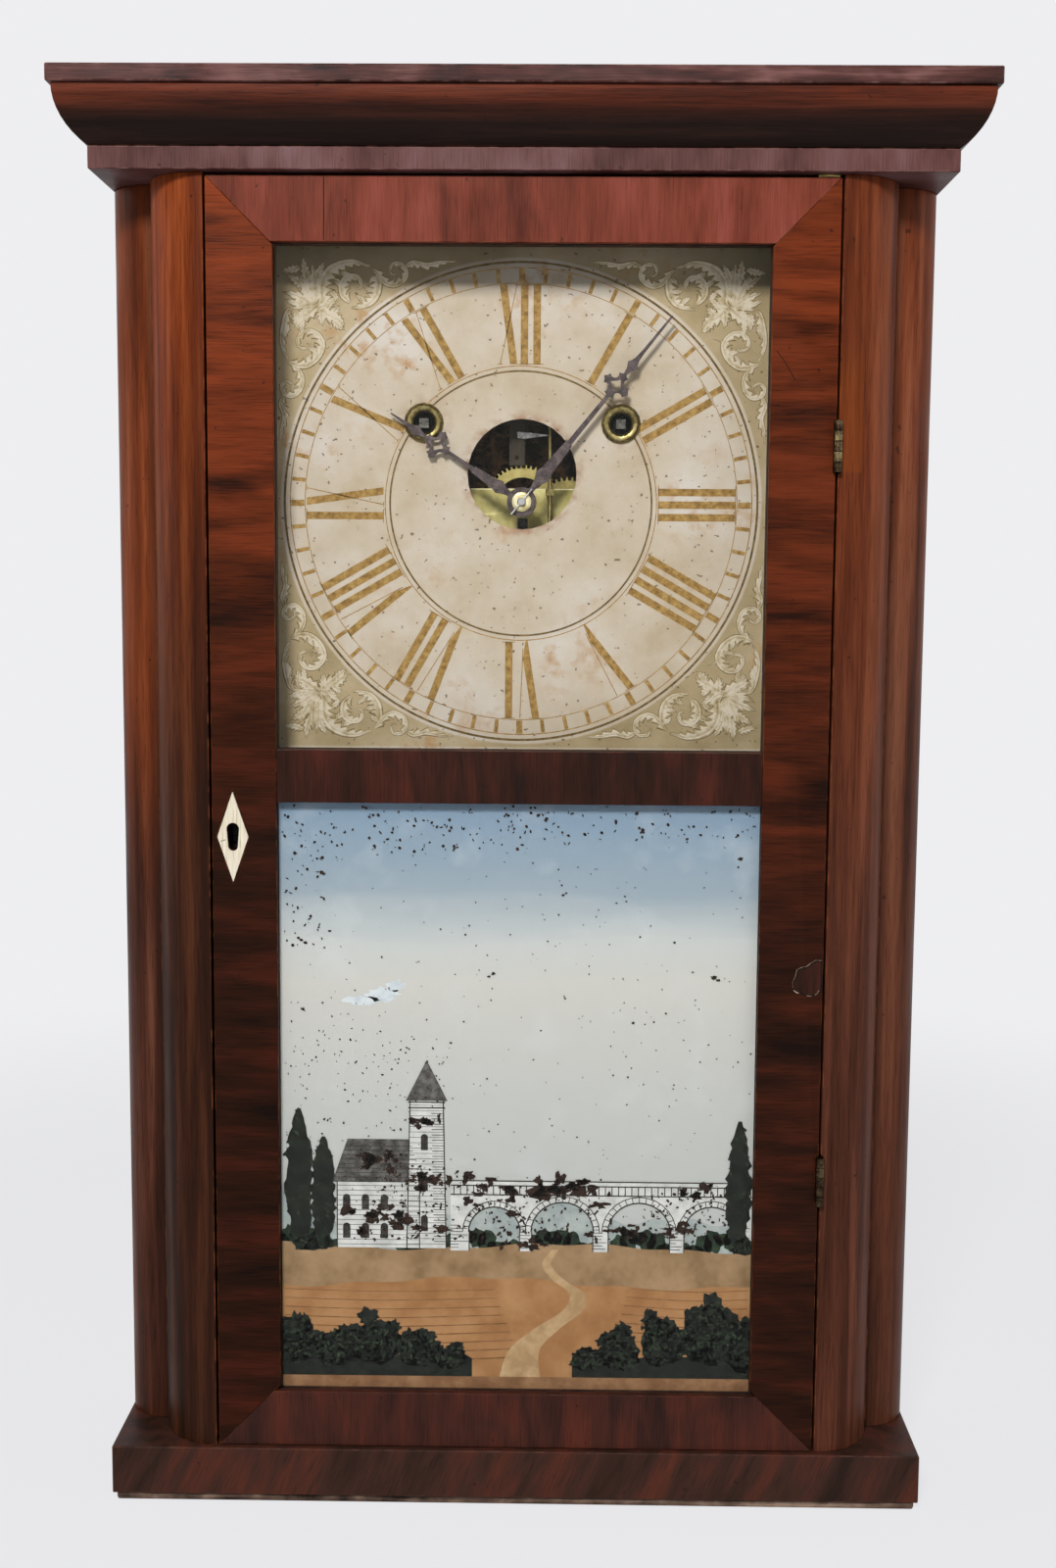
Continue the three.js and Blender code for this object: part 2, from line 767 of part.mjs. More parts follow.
function addLock() {
  const front = doorThickness - lockDepth;
  const low = lockRise - lockTall / 2;
  const body = block(-doorHalf, -doorHalf + lockWidth, front, doorThickness, low, low + lockTall);
  const middle = doorThickness - lockDepth / 2;
  const slotHalf = boltThickness / 2 + fit;
  const slotHigh = boltHeight / 2 + fit;
  const slot = block(
    -doorHalf - fit,
    -doorHalf + lockWidth - lockWall,
    middle - slotHalf,
    middle + slotHalf,
    lockRise - slotHigh,
    lockRise + slotHigh,
  );
  const throat = deep(keyhole(), front - fit, middle, keyholeRound);
  piece(door, "lock_case", cut(body, slot, throat), brass());
  const bolt = block(
    -doorHalf + fit,
    -doorHalf + fit + boltLength,
    middle - boltThickness / 2,
    middle + boltThickness / 2,
    lockRise - boltHeight / 2,
    lockRise + boltHeight / 2,
  );
  piece(door, "lock_bolt", bolt, steel());
  const plate = diamond(0);
  plate.holes.push(new THREE.Path(keyhole().getPoints(keyholeRound).reverse()));
  const back = escutcheonThickness - escutcheonProud;
  piece(door, "escutcheon", deep(plate, -escutcheonProud, back), bone());
}

function addDial() {
  const face = -dialToPlate;
  const plate = rectangle(-dialHalfWidth, dialHalfWidth, -dialBelow, dialAbove);
  plate.holes.push(hole({ x: 0, z: dialOpeningRise }, dialOpeningRadius));
  for (const at of [timeGreat, strikeGreat]) {
    plate.holes.push(hole(at, grommetBore + grommetWall + fit));
  }
  piece(movement, "dial", deep(plate, face, face + dialThickness, coarseRound), dialPaint());
  const railOuter = columnInner - jambReach - fit;
  const railInner = dialHalfWidth - dialSeat;
  const railFront = face + dialThickness;
  const railBottom = -dialBelow - dialRailTail;
  const rail = block(railInner, railOuter, railFront, railFront + dialRailDepth, railBottom, dialAbove);
  piece(movement, "right_dial_rail", rail, pine());
  piece(movement, "left_dial_rail", mirrored(rail), pine());
  const tubeBack = dialThickness + grommetWall;
  const tubeRadius = grommetBore + grommetWall;
  const grommetProfile = [
    [grommetBore, tubeBack],
    [tubeRadius, tubeBack],
    [tubeRadius, 0],
    [grommetRadius, 0],
    [grommetRadius, -0.3 * grommetHeight],
    [0.62 * grommetRadius + 0.38 * grommetBore, -grommetHeight],
    [0.25 * grommetRadius + 0.75 * grommetBore, -0.9 * grommetHeight],
    [grommetBore, -0.4 * grommetHeight],
    [grommetBore, tubeBack],
  ];
  const grommet = turned(grommetProfile, coarseRound);
  const ringed = { time_grommet: timeGreat, strike_grommet: strikeGreat };
  for (const [name, at] of Object.entries(ringed)) {
    piece(movement, name, grommet, brass()).position.set(at.x, face, at.z);
  }
}

// An open cross with three-pointed lobes, standing across a hand: a round bite between every two lobes
function handCross(height) {
  const points = [];
  for (let quarter = 0; quarter < 4; quarter += 1) {
    const spin = (x, y) => {
      const turn = (quarter * Math.PI) / 2;
      const [cos, sin] = [Math.cos(turn), Math.sin(turn)];
      points.push([x * cos - y * sin, height + x * sin + y * cos]);
    };
    const [dentIn, dentOut] = [0.83 * crossReach, 0.18 * crossReach];
    spin(crossReach, 0);
    spin(dentIn, dentOut);
    for (let step = 0; step <= crossBiteSteps; step += 1) {
      const share = step / crossBiteSteps;
      const bend = THREE.MathUtils.degToRad(crossBiteFrom - share * crossBiteTurn);
      spin(crossBiteAt + crossBite * Math.cos(bend), crossBiteAt + crossBite * Math.sin(bend));
    }
    spin(dentOut, dentIn);
  }
  return outline(points);
}

// A hand pointing up: boss ring, blade and open cross in one plate
function handPlate(blade, crossAt, bore, back) {
  const front = back - handThickness;
  const right = blade.map(([at, half]) => [half, at]);
  const left = blade.map(([at, half]) => [-half, at]).reverse();
  const boss = barAlongY(handBossRadius, front, back, handArbor, round);
  const stem = deep(outline([...right, ...left]), front, back);
  const cross = deep(handCross(crossAt), front, back);
  const eye = outline([
    [crossEye, crossAt],
    [crossEyeSide, crossAt + crossEyeSide],
    [0, crossAt + crossEye],
    [-crossEyeSide, crossAt + crossEyeSide],
    [-crossEye, crossAt],
    [-crossEyeSide, crossAt - crossEyeSide],
    [0, crossAt - crossEye],
    [crossEyeSide, crossAt - crossEyeSide],
  ]);
  const centre = barAlongY(bore, front - fit, back + fit, handArbor, round);
  return cut(join(boss, stem, cross), deep(eye, front - fit, back + fit), centre);
}

const hourHandBack = -dialToPlate - hourHandClearance;
const minuteHandBack = hourHandBack - handThickness - handSpacing;
const hourPipeFront = hourHandBack - handThickness - fit;
const washerBack = minuteHandBack - handThickness - fit;
const handPinLine = washerBack - washerThickness - fit - handPinRadius;
const handArborFront = handPinLine - 3 * handPinRadius;
const handTurn = THREE.MathUtils.degToRad(minuteHandAngle);

function addHands() {
  const minuteBore = handArborRadius + fit;
  const minutePlate = handPlate(minuteHandBlade, minuteHandCross, minuteBore, minuteHandBack);
  piece(movement, "minute_hand", minutePlate, bluedSteel()).rotation.y = handTurn;
  const hourPlate = handPlate(hourHandBlade, hourHandCross, hourPipeRadius + fit, hourHandBack);
  const hourHand = piece(movement, "hour_hand", hourPlate, bluedSteel());
  hourHand.rotation.y = THREE.MathUtils.degToRad(hourHandAngle);
  const washerProfile = [
    [minuteBore, washerBack],
    [washerRadius, washerBack],
    [washerRadius, washerBack - 0.5 * washerThickness],
    [0.75 * washerRadius, washerBack - washerThickness],
    [minuteBore, washerBack - washerThickness],
    [minuteBore, washerBack],
  ];
  piece(movement, "hand_washer", turned(washerProfile, coarseRound), brass());
  const [slim, thick] = [0.7 * handPinRadius, handPinRadius];
  const pin = new THREE.CylinderGeometry(slim, thick, handPinLength, smallRound);
  pin.rotateX(Math.PI / 2).translate(0, handPinLine, 0);
  piece(movement, "hand_pin", pin, steel()).rotation.y = handTurn;
}

// Toothed outline: straight flanks between a root and a tip share of the pitch
function toothed(teeth, root, tip, rootShare, tipShare) {
  const pitch = (2 * Math.PI) / teeth;
  const points = [];
  for (let i = 0; i < teeth; i += 1) {
    const corner = (share, radius) => {
      const angle = (i + share) * pitch;
      points.push([radius * Math.cos(angle), radius * Math.sin(angle)]);
    };
    if (rootShare < 0.5) corner(-rootShare, root);
    if (tipShare > 0) corner(-tipShare, tip);
    corner(tipShare, tip);
    corner(rootShare, root);
  }
  return outline(points);
}

// Teeth that show have a flat top, and those deep behind the dial are plain points.
function wheelOutline(mesh, rootShare = 0.5, tipShare = 0) {
  const radius = (mesh.teeth * mesh.size) / 2;
  const root = radius - toothRoot * mesh.size;
  return toothed(mesh.teeth, root, radius + toothTop * mesh.size, rootShare, tipShare);
}

function pinionOutline(mesh) {
  const radius = (mesh.leaves * mesh.size) / 2;
  const root = radius - leafRoot * mesh.size;
  return toothed(mesh.leaves, root, radius + leafTop * mesh.size, leafRootShare, leafTipShare);
}

// A wheel outline with openings between its rim and its hub, which leave straight arms
function crossedWheel(shape, mesh, hub, arms) {
  const rim = (mesh.teeth * mesh.size) / 2 - rimWidth;
  for (let i = 0; i < arms; i += 1) {
    const start = (i * 2 * Math.PI) / arms;
    const end = ((i + 1) * 2 * Math.PI) / arms;
    const [atRim, atHub] = [armWidth / 2 / rim, armWidth / 2 / hub];
    const opening = new THREE.Path();
    opening.absarc(0, 0, rim, end - atRim, start + atRim, true);
    opening.absarc(0, 0, hub, start + atHub, end - atHub, false);
    opening.closePath();
    shape.holes.push(opening);
  }
  return shape;
}

// An arbor with a pivot in each plate
function pivoted(radius, pivot) {
  const front = plateThickness + fit;
  const back = backPlate - fit;
  const body = barAlongY(radius, front, back, handArbor, pivotRound);
  const pivots = barAlongY(pivot, fit, backPlate + plateThickness - fit, handArbor, pivotRound);
  return join(body, pivots);
}

// A pivot at the rear end of an arbor, in the back plate
function backPivot(radius) {
  return barAlongY(radius, backPlate - 2 * fit, backPlate + plateThickness - fit);
}

// Angle of a follower, so that a gap of its teeth meets the driver's tooth on the line of centres
function followed(driverAngle, driverTeeth, driver, follower, followerTeeth) {
  const line = Math.atan2(follower.z - driver.z, follower.x - driver.x);
  const ahead = ((driverAngle - line) * driverTeeth) / (2 * Math.PI);
  return line + Math.PI + ((0.5 - ahead) * 2 * Math.PI) / followerTeeth;
}

// Front views turn anticlockwise, and a turn about Y is clockwise from the front.
function place(name, geometry, material, at, angle = 0) {
  const mesh = piece(movement, name, geometry, material);
  mesh.position.set(at.x, 0, at.z);
  mesh.rotation.y = -angle;
}

const minuteAngle = followed(0, motionFirst.leaves, handArbor, minute, motionFirst.teeth);
const hourAngle = followed(minuteAngle, motionSecond.leaves, minute, handArbor, motionSecond.teeth);
const secondAngle = followed(0, centreMesh.leaves, handArbor, second, centreMesh.teeth);
const timeGreatAngle = followed(secondAngle, greatMesh.leaves, second, timeGreat, greatMesh.teeth);
const thirdAngle = followed(0, thirdMesh.teeth, handArbor, third, thirdMesh.leaves);
const escapeAngle = followed(thirdAngle, escapeMesh.teeth, third, escape, escapeMesh.leaves);
const countAngle = followed(0, greatMesh.teeth, strikeGreat, count, greatMesh.leaves);
const flyAngle = followed(countAngle, flyMesh.teeth, count, fly, flyMesh.leaves);

function pinion(mesh, layer) {
  const middle = layer + wheelThickness / 2;
  return deep(pinionOutline(mesh), middle - pinionFace / 2, middle + pinionFace / 2);
}

// The pinion that a great wheel drives
function greatPinion() {
  return deep(pinionOutline(greatMesh), greatLayer - fit, greatLayer + greatWheelThickness + fit);
}

function addMotionWork() {
  const arbor = barAlongY(handArborRadius, handArborFront, backPlate - fit, handArbor);
  const collar = barAlongY(hourPipeRadius, minuteHandBack + fit, hourPipeFront - fit, handArbor);
  const cannon = pinion(motionFirst, minuteLayer);
  const pinHole = barAlongZ(handPinRadius + fit, -handBossRadius, handBossRadius, 0, handPinLine);
  pinHole.rotateY(handTurn);
  const centreArbor = join(arbor, backPivot(pivotRadius), collar, cannon);
  piece(movement, "centre_arbor", cut(centreArbor, pinHole), steel());
  const hourTeeth = wheelOutline(motionSecond, toothRootShare, toothTipShare);
  const hourRim = crossedWheel(hourTeeth, motionSecond, hourPipeRadius + hubWall, 3);
  const hourDisc = deep(hourRim, hourLayer, hourLayer + wheelThickness, 4);
  const pipe = barAlongY(hourPipeRadius, hourPipeFront, hourLayer + wheelThickness, handArbor, round);
  const bore = barAlongY(handArborRadius + fit, hourPipeFront - fit, minuteLayer, handArbor);
  place("hour_wheel", cut(join(hourDisc, pipe), bore), brass(), handArbor, hourAngle);
  const minuteDisc = deep(wheelOutline(motionFirst), minuteLayer, minuteLayer + wheelThickness);
  const minuteLeaves = deep(pinionOutline(motionSecond), hourLayer - 0.5 * fit, minuteLayer + fit);
  const studBore = barAlongY(studRadius + fit, 0, minuteLayer + 2 * wheelThickness, handArbor);
  place("minute_wheel", cut(join(minuteDisc, minuteLeaves), studBore), brass(), minute, minuteAngle);
}

function addGoingTrain() {
  const centreDisc = deep(wheelOutline(thirdMesh), centreLayer, centreLayer + wheelThickness);
  const pipeFront = secondLayer - fit - pinionFace / 2;
  const pipeBack = centreLayer + wheelThickness + fit;
  const pipe = barAlongY(centrePipeRadius, pipeFront, pipeBack, handArbor);
  const bore = barAlongY(handArborRadius + fit, 0, backPlate, handArbor);
  const centreSolid = join(centreDisc, pipe, pinion(centreMesh, secondLayer));
  place("centre_wheel", cut(centreSolid, bore), brass(), handArbor);
  const secondTeeth = wheelOutline(centreMesh, toothRootShare, toothTipShare);
  const secondDisc = deep(secondTeeth, secondLayer, secondLayer + wheelThickness);
  const secondSolid = join(secondDisc, greatPinion(), pivoted(arborRadius, pivotRadius));
  place("second_wheel", secondSolid, brass(), second, secondAngle);
  const thirdHub = slimArborRadius + 2 * hubWall;
  const thirdRim = crossedWheel(wheelOutline(escapeMesh), escapeMesh, thirdHub, 4);
  const thirdDisc = deep(thirdRim, thirdLayer, thirdLayer + wheelThickness, 2);
  const slim = pivoted(slimArborRadius, slimPivotRadius);
  const thirdSolid = join(thirdDisc, slim, pinion(thirdMesh, centreLayer));
  place("third_wheel", thirdSolid, brass(), third, thirdAngle);
  const escapeRim = toothed(escapeTeeth, escapeRootRadius, escapeTipRadius, 0.5, 0);
  const escapeDisc = deep(escapeRim, escapeLayer, escapeLayer + escapeThickness);
  const escapeSolid = join(escapeDisc, slim, pinion(escapeMesh, thirdLayer));
  place("escape_wheel", escapeSolid, brass(), escape, escapeAngle);
}

// A great wheel with its winding arbor, ratchet and mainspring, on one centre
function addBarrelLine(side, at, angle) {
  const greatDisc = deep(wheelOutline(greatMesh), greatLayer, greatLayer + greatWheelThickness);
  const greatBore = barAlongY(windingArborRadius + fit, greatLayer - fit, springLayer, handArbor);
  place(`${side}_great_wheel`, cut(greatDisc, greatBore), brass(), at, angle);
  const squareFront = -dialToPlate + windingSquareSink;
  const half = windingSquare / 2;
  const square = block(-half, half, squareFront, plateThickness, -half, half);
  const shaft = barAlongY(windingArborRadius, 0, backPlate - fit, handArbor);
  const ratchet = toothed(ratchetTeeth, 0.8 * ratchetRadius, ratchetRadius, 0.5, 0);
  const ratchetDisc = deep(ratchet, ratchetLayer, ratchetLayer + wheelThickness);
  const arbor = join(square, shaft, backPivot(windingPivotRadius), ratchetDisc);
  place(`${side}_winding_arbor`, arbor, steel(), at);
  place(`${side}_mainspring`, mainspring(), steel(), at);
}

// Least distance between points of a winding that lie at least half a turn apart, less its thickness
function leastGap(points, pointsPerTurn, thickness) {
  let least = Infinity;
  for (let i = 0; i < points.length; i += 1) {
    for (let j = i + pointsPerTurn / 2; j < points.length; j += 1) {
      least = Math.min(least, points[i].distanceTo(points[j]));
    }
  }
  return least - thickness;
}

// A flat spiral strip that hugs the winding arbor
function mainspring() {
  const perTurn = 12;
  const inner = windingArborRadius + fit + springStrip / 2;
  const line = [];
  for (let i = 0; i <= springTurns * perTurn; i += 1) {
    const share = i / (springTurns * perTurn);
    const radius = inner + (springOuterRadius - inner) * share;
    const angle = (i / perTurn) * 2 * Math.PI;
    line.push(new THREE.Vector2(radius * Math.cos(angle), radius * Math.sin(angle)));
  }
  const gap = leastGap(line, perTurn, springStrip);
  console.log(`mainspring: least gap between turns ${gap.toFixed(2)} mm`);
  const offset = (point, by) => point.clone().setLength(point.length() + by);
  const outer = line.map((point) => offset(point, springStrip / 2));
  const inside = line.map((point) => offset(point, -springStrip / 2)).reverse();
  return deep(new THREE.Shape([...outer, ...inside]), springLayer, springLayer + springWidth);
}

function addStrikeTrain() {
  const countDisc = deep(wheelOutline(flyMesh), countLayer, countLayer + wheelThickness);
  const countSolid = join(countDisc, greatPinion(), pivoted(arborRadius, pivotRadius));
  place("count_wheel", countSolid, brass(), count, countAngle);
  const vane = block(
    -flyHalfWidth,
    flyHalfWidth,
    flyLayer,
    backPlate - 4 * fit,
    -flyThickness / 2,
    flyThickness / 2,
  );
  const flySolid = join(pivoted(slimArborRadius, slimPivotRadius), vane, pinion(flyMesh, countLayer));
  place("fly", flySolid, brass(), fly, flyAngle);
  const headEnd = -gongRadius - gongWire - hammerLift + hammerOffset;
  const drop = -gongDrop + hammerDrop;
  const head = barAlongX(hammerHeadRadius, headEnd - hammerHeadLength, headEnd, hammerLayer, drop);
  const wire = barAlongZ(hammerWire, drop, 0, 0, hammerLayer);
  const hubFront = hammerLayer - hammerHubLength / 2;
  const hub = barAlongY(hammerHubRadius, hubFront, hubFront + hammerHubLength);
  const hammerSolid = join(pivoted(arborRadius, pivotRadius), hub, wire, head);
  place("hammer", hammerSolid, castIron(), hammer);
}

// A spiral of round wire whose inner end runs straight into its block on the back board
function addGong() {
  const perTurn = 24;
  const inner = gongRadius - gongTurns * gongPitch;
  const line = [];
  for (let i = 0; i <= gongTurns * perTurn; i += 1) {
    const radius = gongRadius - (gongPitch * i) / perTurn;
    const angle = Math.PI + (i / perTurn) * 2 * Math.PI;
    line.push(new THREE.Vector3(radius * Math.cos(angle), hammerLayer, radius * Math.sin(angle)));
  }
  const gap = leastGap(line, perTurn, 2 * gongWire);
  console.log(`gong: least gap between turns ${gap.toFixed(2)} mm`);
  const sides = 6;
  const points = [];
  const index = [];
  line.forEach((at, i) => {
    const away = at.clone().setY(0).normalize();
    for (let k = 0; k < sides; k += 1) {
      const angle = (k * 2 * Math.PI) / sides;
      const out = gongWire * Math.cos(angle);
      points.push(at.x + away.x * out, at.y + gongWire * Math.sin(angle), at.z + away.z * out);
      if (i === 0) continue;
      const [a, b] = [i * sides + k, i * sides + ((k + 1) % sides)];
      index.push(a, b, b - sides, a, b - sides, a - sides);
    }
  });
  const last = (line.length - 1) * sides;
  for (let k = 1; k < sides - 1; k += 1) {
    index.push(0, k, k + 1, last, last + k + 1, last + k);
  }
  const coil = new THREE.BufferGeometry();
  coil.setAttribute("position", new THREE.BufferAttribute(new Float32Array(points), 3));
  coil.setIndex(index);
  const post = barAlongY(gongBlockRadius, hammerLayer - 2 * gongWire, movementToBack - fit);
  const end = barAlongX(gongWire, -inner - gongWire, 0, hammerLayer, 0, sides);
  const gong = piece(movement, "gong", join(coil, post, end), steel());
  gong.position.set(0, 0, -gongDrop);
}

// A plate of the movement, from y0 back, drilled at each place to a radius with a running fit
function drilledPlate(y0, holes, ...windows) {
  const plate = block(-plateHalfWidth, plateHalfWidth, y0, y0 + plateThickness, -plateBottom, plateTop);
  const [front, back] = [y0 - fit, y0 + plateThickness + fit];
  const drills = holes.map(([at, radius]) => barAlongY(radius + fit, front, back, at, pivotRound));
  return cut(plate, ...drills, ...windows.map((shape) => deep(shape, front, back)));
}

function addPlates() {
  const tongueLeft = third.x - tongueHalfWidth;
  const tongueRight = third.x + tongueHalfWidth;
  const tongueBottom = third.z - tongueHalfWidth;
  const upperWindow = outline([
    [-windowHalfWidth, strapTop],
    [windowHalfWidth, strapTop],
    [windowHalfWidth, windowTop],
    [tongueRight, windowTop],
    [tongueRight, tongueBottom],
    [tongueLeft, tongueBottom],
    [tongueLeft, windowTop],
    [-windowHalfWidth, windowTop],
  ]);
  const lowerWindow = rectangle(-windowHalfWidth, windowHalfWidth, -lowerWindowBottom, -strapBottom);
  const pivotHoles = [
    [second, pivotRadius],
    [count, pivotRadius],
    [hammer, pivotRadius],
    [third, slimPivotRadius],
    [escape, slimPivotRadius],
    [fly, slimPivotRadius],
  ];
  const frontHoles = [
    [handArbor, hourPipeRadius],
    [timeGreat, windingArborRadius],
    [strikeGreat, windingArborRadius],
    [suspension, arborRadius],
    ...pillars.map((at) => [at, tenonRadius]),
  ];
  const drilled = drilledPlate(0, [...pivotHoles, ...frontHoles], upperWindow, lowerWindow);
  const stud = barAlongY(studRadius, plateThickness / 2, minuteLayer + wheelThickness, minute);
  piece(movement, "front_plate", join(drilled, stud), brass());
  const backHoles = [
    [handArbor, pivotRadius],
    [timeGreat, windingPivotRadius],
    [strikeGreat, windingPivotRadius],
    [suspension, pivotRadius],
  ];
  const posts = pillars.flatMap((at) => [
    barAlongY(pillarRadius, plateThickness + fit, movementToBack - fit, at, pivotRound),
    barAlongY(tenonRadius, -plateThickness, 2 * plateThickness, at, pivotRound),
  ]);
  const plain = drilledPlate(backPlate, [...pivotHoles, ...backHoles]);
  piece(movement, "back_plate", join(plain, ...posts), brass());
}

// A strip of even width along a bent line, in front view
function strip(line, half) {
  const sides = { left: [], right: [] };
  line.forEach((point, i) => {
    const before = line[Math.max(i - 1, 0)];
    const after = line[Math.min(i + 1, line.length - 1)];
    const [dx, dz] = [after.x - before.x, after.z - before.z];
    const size = Math.hypot(dx, dz) / half;
    sides.left.push([point.x - dz / size, point.z + dx / size]);
    sides.right.push([point.x + dz / size, point.z - dx / size]);
  });
  return outline([...sides.left, ...sides.right.reverse()]);
}

function addPendulum() {
  // Pallets, about the suspension: each ends just clear of the escape wheel's teeth.
  const line = THREE.MathUtils.radToDeg(Math.atan2(suspension.z - escape.z, suspension.x - escape.x));
  const pallets = [line - palletSpread, line + palletSpread].map((degrees) => {
    const tip = polar(escape, escapeTipRadius + palletReach, degrees);
    return { x: tip.x - suspension.x, z: tip.z - suspension.z };
  });
  const anchor = strip([pallets[0], handArbor, pallets[1]], palletHalfThickness);
  const anchorPlate = deep(anchor, escapeLayer, escapeLayer + escapeThickness);
  const crutchPlane = pendulumPlane / 2;
  const arbor = barAlongY(arborRadius, crutchPlane - crutchWire, backPlate - fit);
  const forkTop = -crutchDrop;
  const forkBottom = forkTop - forkHeight;
  const wire = barAlongZ(crutchWire, forkTop, 0, 0, crutchPlane);
  const forkHalf = rodRadius + fit + crutchWire;
  const forkFront = pendulumPlane - forkHalf;
  const fork = block(-forkHalf, forkHalf, forkFront, crutchPlane + crutchWire, forkBottom, forkTop);
  const eye = barAlongZ(rodRadius + fit, forkBottom - fit, forkTop + fit, 0, pendulumPlane);
  const hub = barAlongY(2 * arborRadius, escapeLayer - fit, escapeLayer + escapeThickness + fit);
  const verge = join(arbor, backPivot(pivotRadius), hub, anchorPlate, wire, fork);
  place("verge", cut(verge, eye), steel(), suspension);
  const rodEnd = -pendulumLength - bobRadius - 2 * ratingNutHeight;
  const rod = barAlongZ(rodRadius, rodEnd, rodRadius - suspensionLength, 0, pendulumPlane);
  const stripHalf = suspensionStrip / 2;
  const stripFront = pendulumPlane - suspensionStripWidth / 2;
  const stripBack = pendulumPlane + suspensionStripWidth / 2;
  const spring = block(-stripHalf, stripHalf, stripFront, stripBack, -suspensionLength, cockRise - fit);
  const nutTop = -pendulumLength - bobRadius - fit;
  const nut = barAlongZ(ratingNutRadius, nutTop - ratingNutHeight, nutTop, 0, pendulumPlane);
  place("pendulum_rod", join(rod, spring, nut), steel(), suspension);
  const bobFront = bobProfile.map(([r, y]) => [r * bobRadius, -y * bobThickness]);
  const bobBack = bobProfile.map(([r, y]) => [r * bobRadius, y * bobThickness]).reverse();
  const lens = turned([...bobFront, ...bobBack], coarseRound);
  lens.translate(0, pendulumPlane, -pendulumLength);
  const rodHole = barAlongZ(rodRadius + fit, rodEnd, 0, 0, pendulumPlane);
  place("pendulum_bob", cut(lens, rodHole), brass(), suspension);
  const half = cockWidth / 2;
  const cock = block(-half, half, pendulumPlane - half, 0, cockRise, cockRise + cockHeight);
  place("suspension_cock", cock, brass(), suspension);
}

addBase();
addSides();
addBack();
addCornice();
addDoorFrame();
addGlazing();
addHinge("upper", hingeMiddles.upper);
addHinge("lower", hingeMiddles.lower);
addLock();
addDial();
addHands();
addPlates();
addMotionWork();
addGoingTrain();
addBarrelLine("time", timeGreat, timeGreatAngle);
addBarrelLine("strike", strikeGreat, 0);
addStrikeTrain();
addPendulum();
addGong();

export default clock;
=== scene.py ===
import json
import math
import random
from types import SimpleNamespace

import bmesh
import bpy
from mathutils import Matrix, Vector


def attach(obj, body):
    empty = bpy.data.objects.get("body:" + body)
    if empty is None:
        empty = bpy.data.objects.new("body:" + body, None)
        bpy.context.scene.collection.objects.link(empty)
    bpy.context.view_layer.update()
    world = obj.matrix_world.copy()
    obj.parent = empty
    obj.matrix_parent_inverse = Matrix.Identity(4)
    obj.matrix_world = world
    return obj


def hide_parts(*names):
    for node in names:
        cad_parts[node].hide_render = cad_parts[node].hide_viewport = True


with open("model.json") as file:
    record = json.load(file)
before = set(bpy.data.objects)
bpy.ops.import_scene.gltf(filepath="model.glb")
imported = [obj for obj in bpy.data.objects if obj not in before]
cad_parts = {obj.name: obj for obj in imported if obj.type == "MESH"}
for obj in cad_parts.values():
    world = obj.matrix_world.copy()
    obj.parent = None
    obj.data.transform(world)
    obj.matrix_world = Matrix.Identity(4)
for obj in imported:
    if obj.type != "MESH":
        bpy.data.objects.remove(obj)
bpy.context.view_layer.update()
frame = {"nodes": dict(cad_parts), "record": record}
nodes, record = frame["nodes"], frame["record"]
bodyOf = {node: body for body, members in record["behaviour"]["bodies"].items() for node in members}
slotOf = {row["node"]: row["material_slot"] for row in record["subparts"]}
scene = bpy.context.scene
scene.view_settings.view_transform = "Standard"
mm = 0.001
print("frame loaded:", len(nodes), "nodes")


# helpers for colours and nodes
def linear(hexColour):
    parts = [int(hexColour[i:i + 2], 16) / 255 for i in (1, 3, 5)]
    return tuple(c / 12.92 if c <= 0.04045 else ((c + 0.055) / 1.055) ** 2.4 for c in parts) + (1.0,)


def put(tree, kind, ins=None, out=0, stops=None, **settings):  # adds a node, gives one output or with None all
    node = tree.nodes.new(kind)
    for key, value in settings.items():
        setattr(node, key, value)
    if stops:  # colour ramp: (place, hex colour)
        ramp = node.color_ramp
        ramp.elements.remove(ramp.elements[1])
        ramp.elements[0].position, ramp.elements[0].color = stops[0][0], linear(stops[0][1])
        for place, colour in stops[1:]:
            ramp.elements.new(place).color = linear(colour)
    for key, value in (ins or {}).items():
        if isinstance(value, bpy.types.NodeSocket):
            tree.links.new(value, node.inputs[key])
        else:
            node.inputs[key].default_value = linear(value) if isinstance(value, str) else value
    return node.outputs if out is None else node.outputs[out]


def calc(tree, operation, *values):
    return put(tree, "ShaderNodeMath", dict(enumerate(values)), operation=operation)


def remap(tree, value, first, last, low=0.0, high=1.0, curve="LINEAR"):
    spans = {"Value": value, "From Min": first, "From Max": last, "To Min": low, "To Max": high}
    return put(tree, "ShaderNodeMapRange", spans, interpolation_type=curve)


def blend(tree, share, under, over, mode="MIX"):
    return put(tree, "ShaderNodeMix", {0: share, 6: under, 7: over}, 2, data_type="RGBA", blend_type=mode)


def average(tree, share, one, other):
    return put(tree, "ShaderNodeMix", {0: share, 2: one, 3: other}, data_type="FLOAT")


def noise(tree, place, scale, detail, rough=0.5, bend=0.0):
    return put(tree, "ShaderNodeTexNoise", {"Vector": place, "Scale": scale, "Detail": detail,
                                            "Roughness": rough, "Distortion": bend})


def shades(tree, value, places, colours):
    return put(tree, "ShaderNodeValToRGB", {0: value}, stops=tuple(zip(places, colours)))


def split(tree, place):
    return put(tree, "ShaderNodeSeparateXYZ", {0: place}, None)


def joined(tree, parts):  # axis: value
    return put(tree, "ShaderNodeCombineXYZ", parts)


def stretch(tree, place, scale):
    return put(tree, "ShaderNodeVectorMath", {0: place, 1: scale}, operation="MULTIPLY")


def relief(tree, height, strength, depth):
    return put(tree, "ShaderNodeBump", {"Height": height, "Strength": strength, "Distance": depth})


